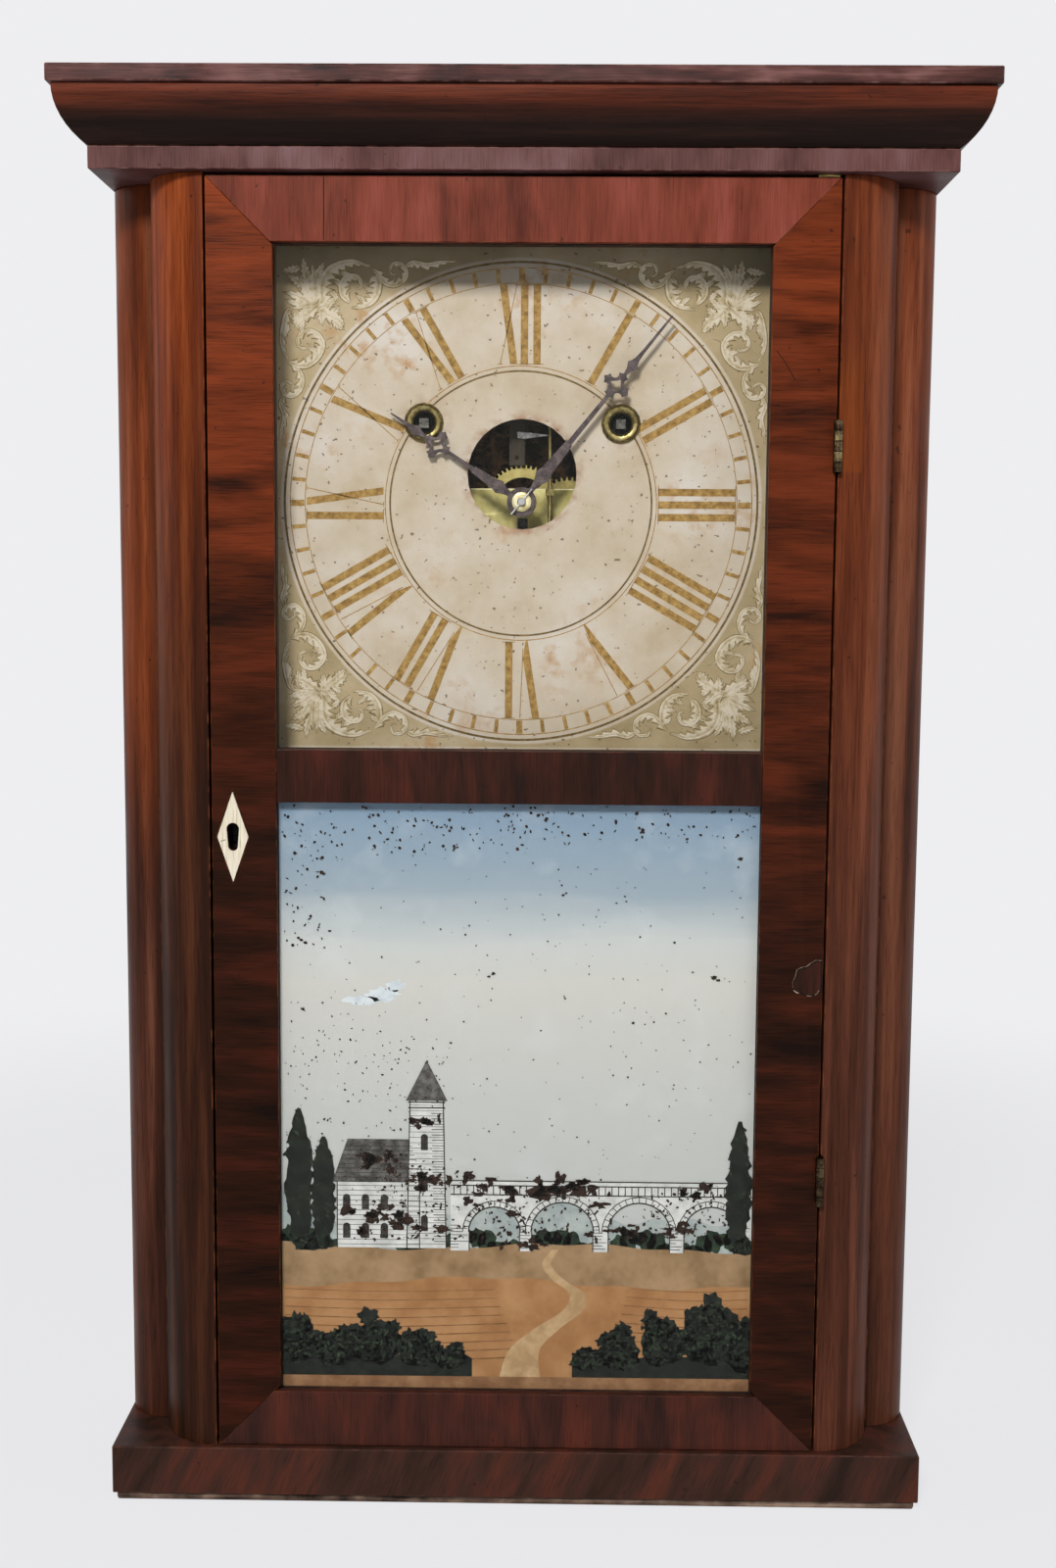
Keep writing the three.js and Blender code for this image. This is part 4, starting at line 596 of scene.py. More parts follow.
def dialPaint(spec):
    material, tree, place = startMaterial("aged_dial_paint")
    axes = split(tree, place)
    flat = joined(tree, {0: axes[0], 2: axes[2]})

    def blot(size, detail, first, last, most):
        return remap(tree, noise(tree, place, 1000 / size, detail), first, last, 0.0, most)

    def reach(x, z):  # distance in m from a point of the dial
        return put(tree, "ShaderNodeVectorMath", {0: flat, 1: (x * mm, 0, z * mm)}, "Value", operation="DISTANCE")

    def near(x, z, inner, outer, most, *patches):  # strongest up to the inner radius, broken up by patches
        close = remap(tree, reach(x, z), inner * mm, outer * mm, most, 0.0)
        return calc(tree, "MULTIPLY", close, blot(*patches))

    cloud = noise(tree, place, 22.0, 6.0, 0.6)
    ivory, corner = (shades(tree, cloud, (0.34, 0.5, 0.66), spec[key]) for key in ("ivory", "corner"))
    ring, border, flank, (level, most, paintedShade) = (spec[key] for key in ("ring", "border", "rightBorder", "shadeAndSmoke"))
    colour = blend(tree, remap(tree, reach(*spec["painted"]), (ring - 0.3) * mm, (ring + 0.5) * mm), ivory, corner)
    edge = remap(tree, axes[2], border * mm, (border + 0.5) * mm, 0.8, 0.0)
    side = remap(tree, axes[0], flank * mm, (flank + 0.4) * mm, 0.0, 0.7)
    colour = blend(tree, calc(tree, "MAXIMUM", edge, side), colour, ivory)
    stained = calc(tree, "MULTIPLY", blot(7, 5.0, 0.5, 0.72, 0.8), blot(45, 2.0, 0.5, 0.66, 1.0))
    colour = blend(tree, stained, colour, spec["stain"])
    for x, z, radius, strength in spec["spots"]:
        share = near(x, z, 0.0, radius, strength, 4, 5.0, 0.4, 0.62, 1.0)
        colour = blend(tree, share, colour, spec["stain"])
    for x, z, radius, strength in spec["rusty"]:
        share = near(x, z, radius - 0.5, radius + 4.5, strength, 5, 4.0, 0.42, 0.66, 1.0)
        colour = blend(tree, share, colour, spec["rust"])
    # painted shade under the top rail that deepens the rail's shadow, partly smoke and dust; fly specks of about half a
    # millimetre
    colour = blend(tree, remap(tree, axes[2], (level - 1.2) * mm, (level + 1.2) * mm, 0.0, most), colour, paintedShade)
    colour = blend(tree, blot(2.2, 1.0, 0.7, 0.74, 0.8), colour, spec["speck"])
    rough = remap(tree, cloud, 0.3, 0.7, 0.5, 0.66)
    surface(tree, colour, rough, relief(tree, noise(tree, place, 420.0, 3.0), 0.08, 0.0003))
    return material


finish["dial"] = dialPaint(dial)
cover(nodes["dial"].data, finish["dial"])

numerals = {"inner": 61.8, "outer": 96.4, "thick": 3.3, "thin": 0.4, "widths": {"I": 3.4, "V": 8.9, "X": 8.1},
            "gaps": {"II": 2.2, "XI": 1.4, "VI": 3.5, "IX": 2.9}, "shift": {6: -1.2, 12: -0.7}, "rise": 0.05,
            "serif": (0.35, 6.0), "smallSerif": (0.4, 2.2), "inset": 0.4,  # X: thin stroke's serif and its inset
            "point": (0.8, 0.9, 0.22), "hairline": (3, 0.4),  # V: point's reach, width and taper; thin stroke's foot
            "hours": ("I", "II", "III", "IIII", "V", "VI", "VII", "VIII", "IX", "X", "XI", "XII"),
            "rings": ((106.3, 1.0, "ringLine"), (103.8, 0.45, "ochre"), (97.1, 0.35, "ochre")),
            "innerRings": ((61.0, 0.4, "ochre"), (58.8, 0.8, "ringLine")),
            "skip": (50.6, 7.4)}  # winding holes that break the inner rings: angle and half gap in degrees


def paintNumerals(spec):
    stores = {"ochre": ([], []), "ringLine": ([], [])}
    (middle, centre), depths = dial["painted"], (dial["face"] - spec["rise"], dial["face"] + 0.02)
    low, high, thick, fine, inset = (spec[key] for key in ("inner", "outer", "thick", "thin", "inset"))
    heavy = thick / 2

    def shape(corners):  # corners at the hour in hand as (radius, sideways), sideways grows clockwise
        sine, cosine = math.sin(math.radians(30 * hour)), math.cos(math.radians(30 * hour))
        slab(stores["ochre"], [(middle + r * sine + t * cosine, centre + r * cosine - t * sine) for r, t in corners],
             *depths)

    def stroke(r0, t0, r1, t1, width):
        shape(((r0, t0 - width / 2), (r1, t1 - width / 2), (r1, t1 + width / 2), (r0, t0 + width / 2)))

    def serif(r, t, size):
        stroke(r - size[0] / 2, t, r + size[0] / 2, t, size[1])

    for hour, text in enumerate(spec["hours"], 1):
        gaps = [spec["gaps"][text[i:i + 2]] for i in range(len(text) - 1)] + [0]
        left = spec["shift"].get(hour, 0) - (sum(spec["widths"][c] for c in text) + sum(gaps)) / 2
        for letter, gap in zip(text, gaps):
            width = spec["widths"][letter]
            right = left + width
            if letter == "I":
                stroke(low, left + heavy, high, left + heavy, thick)
                serif(low, left + heavy, spec["serif"])
                serif(high, left + heavy, spec["serif"])
            elif letter == "V":  # heavy on the left, pointed towards the centre
                (reach, tip, taper), (foot, aside), lean = spec["point"], spec["hairline"], width - thick
                shape(((low - reach, left + lean), (low - reach, left + lean + tip),
                       (low + taper * (high - low), right - taper * lean), (high, left + thick), (high, left)))
                stroke(low + foot, right - heavy + aside, high, right, fine)
                serif(high, left + heavy, spec["serif"])
            else:
                stroke(low, right - heavy, high, left + heavy, thick)
                stroke(low, left + inset, high, right - inset, fine)
                serif(low, left + inset, spec["smallSerif"])
                serif(high, right - inset, spec["smallSerif"])
            left = right + gap
    hole, gap = (math.radians(part) for part in spec["skip"])
    arcs = ((gap - hole, hole - gap), (hole + gap, math.tau - hole - gap))
    for rings, parts in ((spec["rings"], ((0.0, math.tau),)), (spec["innerRings"], arcs)):
        for radius, width, paint in rings:
            for first, last in parts:
                hoop(stores[paint], dial["painted"], radius, width, *depths, first, last)
    for name, paint in (("dial_numerals", "ochre"), ("dial_rings", "ringLine")):
        addPiece(name, meshOf(name, stores[paint]), finish[paint], "case", "dial_paint")


paintNumerals(numerals)

# minute bars between the two rings, by nodes: every fifth one is broader
minuteBars = {"Bars": 60, "Inner": 97.5 * mm, "Outer": 103.4 * mm, "Width": 1.75 * mm, "Broad": 1.6,
              "Thickness": 0.07 * mm, "Paint": finish["ochre"],
              "Centre": (dial["painted"][0] * mm, (dial["face"] - 0.012) * mm, dial["painted"][1] * mm)}


def minuteTrack():
    tree, given = startTree("minuteTrack", {"Int": "Bars", "Float": "Inner Outer Width Broad Thickness",
                                            "Vector": "Centre", "Material": "Paint"})
    index = put(tree, "GeometryNodeInputIndex")
    angle = calc(tree, "MULTIPLY", index, calc(tree, "DIVIDE", math.tau, given["Bars"]))
    middle = calc(tree, "MULTIPLY", calc(tree, "ADD", given["Inner"], given["Outer"]), 0.5)
    across, up = (calc(tree, "MULTIPLY", calc(tree, wave, angle), middle) for wave in ("SINE", "COSINE"))
    spots = {"Count": given["Bars"], "Position": joined(tree, {0: across, 2: up})}
    length = calc(tree, "SUBTRACT", given["Outer"], given["Inner"])
    size = joined(tree, {0: given["Width"], 1: given["Thickness"], 2: length})
    fifth = calc(tree, "LESS_THAN", calc(tree, "MODULO", index, 5.0), 0.5)
    breadth = calc(tree, "MULTIPLY_ADD", fifth, calc(tree, "SUBTRACT", given["Broad"], 1.0), 1.0)
    bars = standOn(tree, put(tree, "GeometryNodePoints", spots), put(tree, "GeometryNodeMeshCube", {"Size": size}),
                   joined(tree, {1: angle}), joined(tree, {0: breadth, 1: 1.0, 2: 1.0}))
    placed = put(tree, "GeometryNodeTransform", {"Geometry": bars, "Translation": given["Centre"]})
    return endTree(tree, placed, given["Paint"])


addPiece("dial_minute_bars", grow("dial_minute_bars", minuteTrack(), minuteBars), None, "case", "dial_paint")
print("dial painted")

# acanthus scrolls in the four corners, in low relief like thick paint; mm about the hand centre, lower left corner
acanthus = {
    # scroll: points, width, side with teeth (1 left, -1 right, 0 none), teeth
    "scrolls": (
        (((-104.9, -61.5), (-101.0, -60.0), (-96.4, -60.0), (-92.1, -63.0), (-89.4, -67.9), (-90.1, -71.7),
          (-93.2, -74.7), (-97.1, -75.1), (-100.2, -72.5), (-100.6, -69.1), (-98.3, -67.2), (-95.6, -67.8),
          (-94.6, -69.8)), 5.4, -1, 12),
        (((-103.0, -85.0), (-105.3, -83.1), (-106.9, -77.4), (-107.8, -71.7), (-106.9, -66.1), (-104.9, -62.7)),
         4.6, -1, 7),
        (((-90.9, -86.5), (-89.5, -88.7), (-89.7, -92.5), (-89.0, -97.4), (-85.9, -102.0), (-80.8, -104.6),
          (-75.3, -105.4), (-70.7, -104.2), (-68.0, -103.7)), 7.4, 1, 9),
        (((-64.7, -99.7), (-64.3, -95.5), (-65.4, -90.6), (-68.3, -87.2), (-72.2, -85.7), (-76.5, -85.0)), 6.2, 1, 8),
        (((-77.1, -87.6), (-80.0, -90.2), (-81.0, -93.6), (-80.0, -97.1), (-77.3, -99.1), (-73.8, -98.9),
          (-71.8, -96.3), (-72.4, -93.8), (-74.4, -93.5)), 5.6, 1, 7),
        (((-66.8, -102.3), (-63.7, -98.9), (-61.0, -95.9), (-57.0, -95.2), (-52.8, -97.8), (-52.0, -101.6),
          (-54.3, -104.6), (-57.8, -104.6), (-59.4, -102.0), (-58.2, -99.7), (-56.3, -100.1)), 4.2, -1, 9),
        (((-52.6, -103.1), (-48.9, -105.2), (-43.1, -104.2), (-36.4, -105.4), (-30.2, -105.7)), 4.0, 1, 6),
        (((-103.4, -61.0), (-99.5, -57.0), (-98.5, -52.8), (-99.9, -48.7), (-103.4, -46.4), (-107.2, -47.9),
          (-108.0, -51.3), (-105.7, -53.2), (-103.0, -52.1), (-102.8, -49.4), (-104.3, -49.0)), 4.2, 1, 9),
        (((-106.9, -47.2), (-108.4, -43.0), (-106.9, -37.7), (-108.2, -31.7), (-108.6, -26.4)), 4.0, -1, 6),
        (((-89.7, -69.5), (-87.8, -71.5), (-84.5, -72.4)), 1.2, 0, 1),
        (((-103.7, -85.0), (-99.1, -85.4), (-94.0, -86.1), (-90.3, -87.0)), 2.4, 0, 1)),
    # leaf: base, heading in degrees, length, width, bend
    "leaves": (
        (-91.7, -86.1, 139, 14.7, 8.4, 0.25), (-89.4, -85.0, 105, 8.3, 5.8, -0.3), (-90.9, -85.7, 49, 13.5, 8.4, -0.3),
        (-85.9, -81.9, 21, 8.4, 7.0, 0.3), (-85.9, -82.7, 335, 6.1, 5.6, -0.4), (-87.4, -85.0, 301, 7.2, 5.0, 0.3),
        (-93.2, -86.5, 213, 15.3, 6.6, -0.2), (-93.2, -86.8, 236, 15.5, 7.8, 0.1), (-93.2, -86.8, 259, 16.2, 7.8, 0.1),
        (-92.5, -87.2, 273, 18.2, 7.2, -0.15), (-94.0, -86.1, 181, 13.4, 5.2, 0.25), (-96.4, -85.3, 119, 7.3, 5.6, 0.4),
        (-99.1, -102.9, 158, 9.2, 5.0, 0.2), (-91.7, -85.3, 352, 5.9, 5.4, -0.3), (-95.2, -86.8, 193, 10.0, 5.0, -0.2),
        (-95.5, -96.5, 250, 11.0, 6.0, 0.2), (-97.0, -93.5, 225, 10.5, 6.0, -0.2), (-92.0, -97.0, 285, 9.5, 5.5, 0.2),
        (-84.5, -80.5, 60, 7.5, 5.6, -0.3), (-101.0, -83.5, 100, 8.5, 5.0, -0.3), (-105.5, -79.0, 75, 6.5, 4.0, 0.4),
        (-99.0, -81.0, 75, 7.0, 4.6, 0.3), (-84.5, -97.5, 20, 6.5, 4.4, 0.5), (-81.0, -100.5, 10, 7.0, 4.2, 0.4),
        (-86.0, -92.5, 30, 6.0, 4.2, 0.5), (-91.0, -65.5, 215, 6.0, 3.6, -0.4), (-96.5, -61.5, 290, 5.0, 3.2, 0.3),
        (-66.0, -93.0, 175, 5.5, 3.4, 0.3), (-70.5, -87.5, 235, 5.5, 3.4, -0.3), (-65.5, -99.0, 150, 5.0, 3.0, -0.4)),
    "rise": 0.34, "tones": ("#6d5b36", "#ab9a74", "#d0c4ad")}


# Scrolls in relief: pale on the crests, olive in the hollows
def scrollPaint(spec):
    material, tree, place = startMaterial("scroll_relief_paint")
    crest = (dial["face"] - spec["rise"] * 0.75) * mm
    top = remap(tree, split(tree, place)[1], (dial["face"] - 0.02) * mm, crest)
    top = calc(tree, "MULTIPLY_ADD", top, noise(tree, place, 300.0, 4.0), -0.12)
    surface(tree, shades(tree, top, (0.0, 0.14, 0.42), spec["tones"]), 0.6)
    return material


def frond(store, line, left, right, rises):  # closed leaf blade on the dial: edges low, two crests and a vein between
    start = len(store[0])
    for (u, v), (nu, nv), one, other, rise in zip(line, normals(line), left, right, rises):
        for reach, high in ((one, 0.01), (one * 0.5, rise), (0, rise * 0.5), (-other * 0.5, rise), (-other, 0.01)):
            store[0].append(((dial["hand"][0] + u + nu * reach) * mm, (dial["face"] - high) * mm,
                             (dial["hand"][1] + v + nv * reach) * mm))
    end = start + 5 * (len(line) - 1)
    for a in range(start, end, 5):
        store[1].extend([a + k, a + k + 1, a + k + 6, a + k + 5] for k in range(4))
        store[1].append([a + 4, a, a + 5, a + 9])
    store[1].extend((list(range(start, start + 5)), list(range(end, end + 5))))


def paintScrolls(spec):
    chance = random.Random(31)
    store = ([], [])

    def lobed(s, count, least=0.42):  # saw-toothed edge, teeth swept towards the tip
        return least + (1 - least) * (s * count % 1.0)

    def blade(line, sides, rises, su, sv, ahead):  # mirrored into its corner, sides swapped where the mirror asks
        frond(store, [(u * su, v * sv) for u, v in line], *(sides if ahead else sides[::-1]), rises)

    def leaf(u, v, angle, length, width, bend, su, sv, lobes=5):
        steps = [(k + part) / lobes for k in range(lobes) for part in (0.0, 0.4, 0.75, 0.97)] + [1.0]
        line, left, right, rises, heading, last = [], [], [], [], math.radians(angle), 0.0
        for s in steps:
            u, v = u + math.cos(heading) * length * (s - last), v + math.sin(heading) * length * (s - last)
            heading, last = heading + bend * (s - last) * 2, s
            line.append((u, v))
            body = width / 2 * math.sin(math.pi * (0.1 + 0.9 * s) ** 0.8) if s < 1 else 0.04
            left.append(max(0.04, body * lobed(s, lobes)))
            right.append(max(0.04, body * lobed(s + 0.5 / lobes, lobes)))
            rises.append(spec["rise"] * (0.35 + 0.65 * math.sin(math.pi * (0.08 + 0.9 * s))))
        blade(line, (left, right), rises, su, sv, su * sv > 0)

    def sweep(points, width, side, teeth, su, sv):
        line = smoothLine(points)
        travelled = [0.0]
        for (u0, v0), (u1, v1) in zip(line, line[1:]):
            travelled.append(travelled[-1] + math.hypot(u1 - u0, v1 - v0))
        toothed, plain, rises = [], [], []
        for s in (far / travelled[-1] for far in travelled):
            body = 0.14 + 0.86 * math.sin(math.pi * min(1.0, 0.04 + 0.96 * s) ** 0.7) ** 0.8
            swell = width * body * (1 - 0.25 * s)
            toothed.append(max(0.05, swell * (0.95 * lobed(s, teeth, 0.28) if side else 0.4)))
            plain.append(max(0.05, swell * 0.32))
            rises.append(spec["rise"] * (0.4 + 0.6 * math.sin(math.pi * (0.1 + 0.8 * s))))
        blade(line, (toothed, plain), rises, su, sv, side * su * sv > 0)

    for su, sv in ((1, 1), (-1, 1), (1, -1), (-1, -1)):
        for points, width, side, teeth in spec["scrolls"]:
            sweep(points, width * chance.uniform(0.95, 1.05), side, teeth, su, sv)
        for u, v, angle, length, width, bend in spec["leaves"]:
            leaf(u, v, angle + chance.uniform(-4, 4), length * chance.uniform(0.95, 1.04), width, bend, su, sv)
    addPiece("dial_scrolls", meshOf("dial_scrolls", store), scrollPaint(spec), "case", "dial_paint")


paintScrolls(acanthus)
print("dial corners drawn")

# painted lower glass: a plain landscape in reverse painting, each colour a thin coat behind the pane, first nearest
tablet = {"half": 107.2, "low": 52.6, "high": 324.3, "pane": -41.29, "coat": 0.03, "fill": 0.8,
          "sky": ("#b9bcb8", "#c0c2bd", "#cac9c2", "#c4c8c5", "#98a7b0", "#879cac", "#7b93a8"), "blotch": "#dfe3e4"}


# Sky of the painted glass: blue above, thinning to a pale grey white, brushed sideways
def skyPaint(spec):
    material, tree, place = startMaterial("reverse_painted_sky")
    wisps = noise(tree, stretch(tree, place, (9, 9, 60)), 1.0, 5.0)
    height = calc(tree, "ADD", split(tree, place)[2], calc(tree, "MULTIPLY_ADD", wisps, 0.018, -0.009))
    climb = remap(tree, height, 0.12, 0.325)
    colour = shades(tree, climb, (0.0, 0.3, 0.6, 0.7, 0.8, 0.93, 1.0), spec["sky"])
    blotch = remap(tree, noise(tree, place, 45.0, 5.0), 0.55, 0.8, 0.0, 0.22)
    surface(tree, blend(tree, blotch, colour, spec["blotch"]), 0.45)
    return material


# tones from dark to light, size of the clouds in mm
paints = {"hills": (("#8f9a98", "#a2aba8", "#b4bab5"), 14), "woods": (("#172219", "#243225", "#33432f"), 4),
          "meadow": (("#866a49", "#997c5a", "#a98a66"), 18), "field": (("#96693f", "#a5784d", "#b2865a"), 22),
          "furrow": (("#6f4d2c", "#805a36", "#916a45"), 5), "lane": (("#a5865f", "#b6976e", "#c5a982"), 9),
          "stone": (("#bcbdb8", "#cfd0cb", "#dededa"), 8), "engraving": (("#262422", "#35322f", "#4a4642"), 3),
          "roof": (("#3a3835", "#53514d", "#706d68"), 4), "hedge": (("#11130f", "#181c17", "#22271f"), 5),
          "leaf": (("#212a1f", "#2d3828", "#3c4934"), 3), "strip": (("#7a5638", "#896445", "#9a7552"), 9),
          "loss": (("#1c120d", "#291a13", "#3a261b"), 3), "backing": (("#a9a69c", "#bdbab0", "#cdcac1"), 12),
          "rubbed": (("#c3ccd0", "#cfd8db", "#d9dfe0"), 5)}
finish.update((name, brushedPaint("glass_paint_" + name, *row, 0.5)) for name, row in paints.items())
finish["sky"] = skyPaint(tablet)


def coat(name, outlines, layer, paint, lines=()):  # layer 0 lies against the pane
    front = tablet["pane"] + tablet["coat"] * layer
    flatPiece(name, paint, "door", "painted_glass", (front, front + tablet["coat"] * tablet["fill"]), outlines, lines)


def box(left, low, right, high):
    return [(left, low), (right, low), (right, high), (left, high)]


def waves(base, parts, left=-tablet["half"], right=tablet["half"], steps=60):  # (height, wavelength, shift)
    places = [left + (right - left) * i / steps for i in range(steps + 1)]
    return [(x, base + sum(h * math.sin(math.tau * x / w + s) for h, w, s in parts)) for x in places]


def under(line, low):  # close a line down to a level
    return [(line[0][0], low)] + line + [(line[-1][0], low)]


def arc(x, z, radius, first, last, steps=14):
    angles = [math.radians(first + (last - first) * i / steps) for i in range(steps + 1)]
    return [(x + radius * math.cos(a), z + radius * math.sin(a)) for a in angles]


def onPane(x):
    return max(-tablet["half"], min(tablet["half"], x))


def blob(chance, x, z, wide, tall, ragged, count=18):  # rounded patch with an uneven edge, kept on the pane
    outline = []
    for k in range(count):
        a, grown = math.tau * k / count, 1 + chance.uniform(-ragged, ragged)
        outline.append((onPane(x + wide * grown * math.cos(a)), max(tablet["low"], z + tall * grown * math.sin(a))))
    return outline


landscape = {
    # rolling edge: base, waves, foot
    "hills": (138, ((8, 130, 1.2), (4, 61, 0.4), (1.0, 19, 0)), 114),
    "meadow": (120, ((1.6, 150, 0.6), (0.6, 37, 1)), 90), "field": (103, ((2.4, 170, 2.2), (0.7, 41, 0.3)), 55),
    "trees": 51,
    # furrow: x, z and their steps from one furrow to the next
    "furrows": (((-106, 99, 0, -4.2), (-60, 98.2, 0, -4.2), (-10, 99.6, 1.5, -4.0)),
                ((52, 101, -1.2, -4.1), (80, 99.5, 0, -4.2), (106, 100.5, 0, -4.3))),
    # x, z, width
    "lane": ((18, 119, 3), (14, 112, 4), (19, 105, 5.5), (28, 98, 7), (26, 90, 9), (14, 81, 11.5), (4, 71, 14),
             (2, 57.6, 19)),
    "bridge": {"left": -30, "right": 107.2, "deck": 151, "rail": 148.8, "sill": 144.5, "foot": 118, "spring": 127,
               "arches": ((-10, 11.5), (21, 14), (56, 14), (89, 12.5)), "stones": (0.3, 3.0)},
    "mill": {"left": -82, "right": -44, "foot": 119, "eaves": 150, "ridge": 170, "over": 2, "hip": 5},
    "tower": {"left": -50, "right": -32, "foot": 119, "head": 188, "tip": 207, "batter": 1.5},
    # x, z, half width, half height
    "bushes": ((-101, 75, 12, 15), (-83, 71, 12, 12), (-64, 74, 13, 15), (-45, 70, 11, 11), (-29, 67, 8, 8),
               (33, 67, 8, 8), (48, 71, 11, 13), (67, 75, 12, 16), (87, 78, 13, 20), (104, 74, 12, 17),
               (104, 121, 6, 5), (-94, 121, 11, 5)),
    # undergrowth: waves, left, right
    "ground": ((((2.0, 47, 0.4), (1.0, 13, 1)), -107.2, -20), (((2.0, 43, 1.4), (1.0, 12, 1)), 26, 107.2)),
    # x, foot, tip, half width
    "poplars": ((-99, 118, 184, 6.2), (-88, 118, 171, 5.4), (101, 118, 180, 5.6)),
    "strip": (58.0, 58.4),
    # x, z, how many, spread, size
    "losses": ((-60, 133, 22, 16, 4.0), (-41, 150, 12, 9, 3.4), (-8, 146, 18, 15, 4.2), (22, 147, 20, 15, 4.6),
               (46, 128, 14, 14, 3.2), (82, 146, 10, 10, 3.0), (-41, 178, 9, 6, 3.0), (-64, 160, 12, 9, 3.4),
               (4, 122, 8, 10, 2.4), (72, 128, 8, 8, 2.8)),
    "chips": ((-11, 247, 0.9), (-13, 245.6, 0.7), (88, 246, 1.4), (90, 245, 0.8), (-88, 292, 1.2), (20, 283, 0.7),
              (70, 262, 0.6), (-30, 215, 0.6), (52, 225, 0.7), (-97, 230, 1.0), (99, 300, 1.1)),
    "rubbed": ((-70, 234, 8, 2.2), (-61, 237, 7, 3.2), (-55, 241, 4, 2.6))}


def engrave(bridge, mill, tower, chance):  # courses, arch stones, parapet, windows, roof tiles and shading
    lines = []

    def rule(x0, z0, x1, z1, width):
        lines.append((((x0, z0), (x1, z1)), width))

    for z in (bridge.deck, bridge.rail, bridge.sill):
        rule(bridge.left, z, bridge.right, z, 0.55)
    for x in (bridge.left + 1.5 + 3 * k for k in range(46)):
        rule(x, bridge.rail, x, bridge.sill, 0.45)
    near, far = bridge.stones
    for x, radius in bridge.arches:
        inner, outer = (arc(x, bridge.spring, radius + part, 180, 0, 16) for part in bridge.stones)
        lines.extend((arc(x, bridge.spring, radius + part, 180, 0), width) for part, width in ((near, 0.6), (far, 0.4)))
        lines.extend((ends, 0.35) for ends in list(zip(inner, outer))[1:-1])
        for side in (x - radius, x + radius):
            rule(side, bridge.foot, side, bridge.spring, 0.5)
    edges = [x + side * (radius + near) for x, radius in bridge.arches for side in (-1, 1)]
    for left, right in zip([bridge.left, *edges[1::2]], [*edges[0::2], bridge.right]):  # the piers
        for z in (bridge.foot + 1.5 + 1.5 * k for k in range(8)):
            rule(left, z, left + (right - left) * chance.uniform(0.35, 1.0), z, 0.3)
    for z in (mill.foot + 1.6 + 2.3 * k for k in range(13)):
        rule(mill.left, z, mill.right, z, 0.2)
    for z in (mill.eaves + 2.1 * k for k in range(9)):
        inset = (mill.over + mill.hip) * (z - mill.eaves) / (mill.ridge - mill.eaves) - mill.over
        rule(mill.left + inset, z, mill.right - inset, z, 0.3)
    for z in (tower.foot + 2 + 2.5 * k for k in range(27)):
        lean = tower.batter * (z - tower.foot) / (tower.head - tower.foot)
        rule(tower.left + lean, z, tower.right - lean, z, 0.2)
        rule(tower.right - lean - 5.5, z + 1.2, tower.right - lean, z + 1.2, 0.35)
    for x in (mill.left + 0.2, mill.right - 0.2):
        rule(x, mill.foot, x, mill.eaves, 0.5)
    for side, lean in ((tower.left, tower.batter), (tower.right, -tower.batter)):
        rule(side, tower.foot, side + lean, tower.head, 0.5)
    for z in (tower.head - 0.6, tower.head - 3.2):
        rule(tower.left + 0.6, z, tower.right - 0.6, z, 0.6)
    windows = [(mill.left + 4.5 + 8.6 * k, mill.foot + 4.5 + 13.5 * row, 1.7, 5.5)
               for row in range(2) for k in range(4)]
    windows += [((tower.left + tower.right) / 2 - 1, tower.foot + 8 + 19 * k, 1.6, 6) for k in range(3)]
    panes = [[(x - wide, z), (x + wide, z)] + arc(x, z + tall, wide, 0, 180, 8) for x, z, wide, tall in windows
             if x + wide < tower.left - 0.8 or x > tower.left]  # not where the tower hides the mill
    coat("tablet_engraving", panes, 4, "engraving", lines)


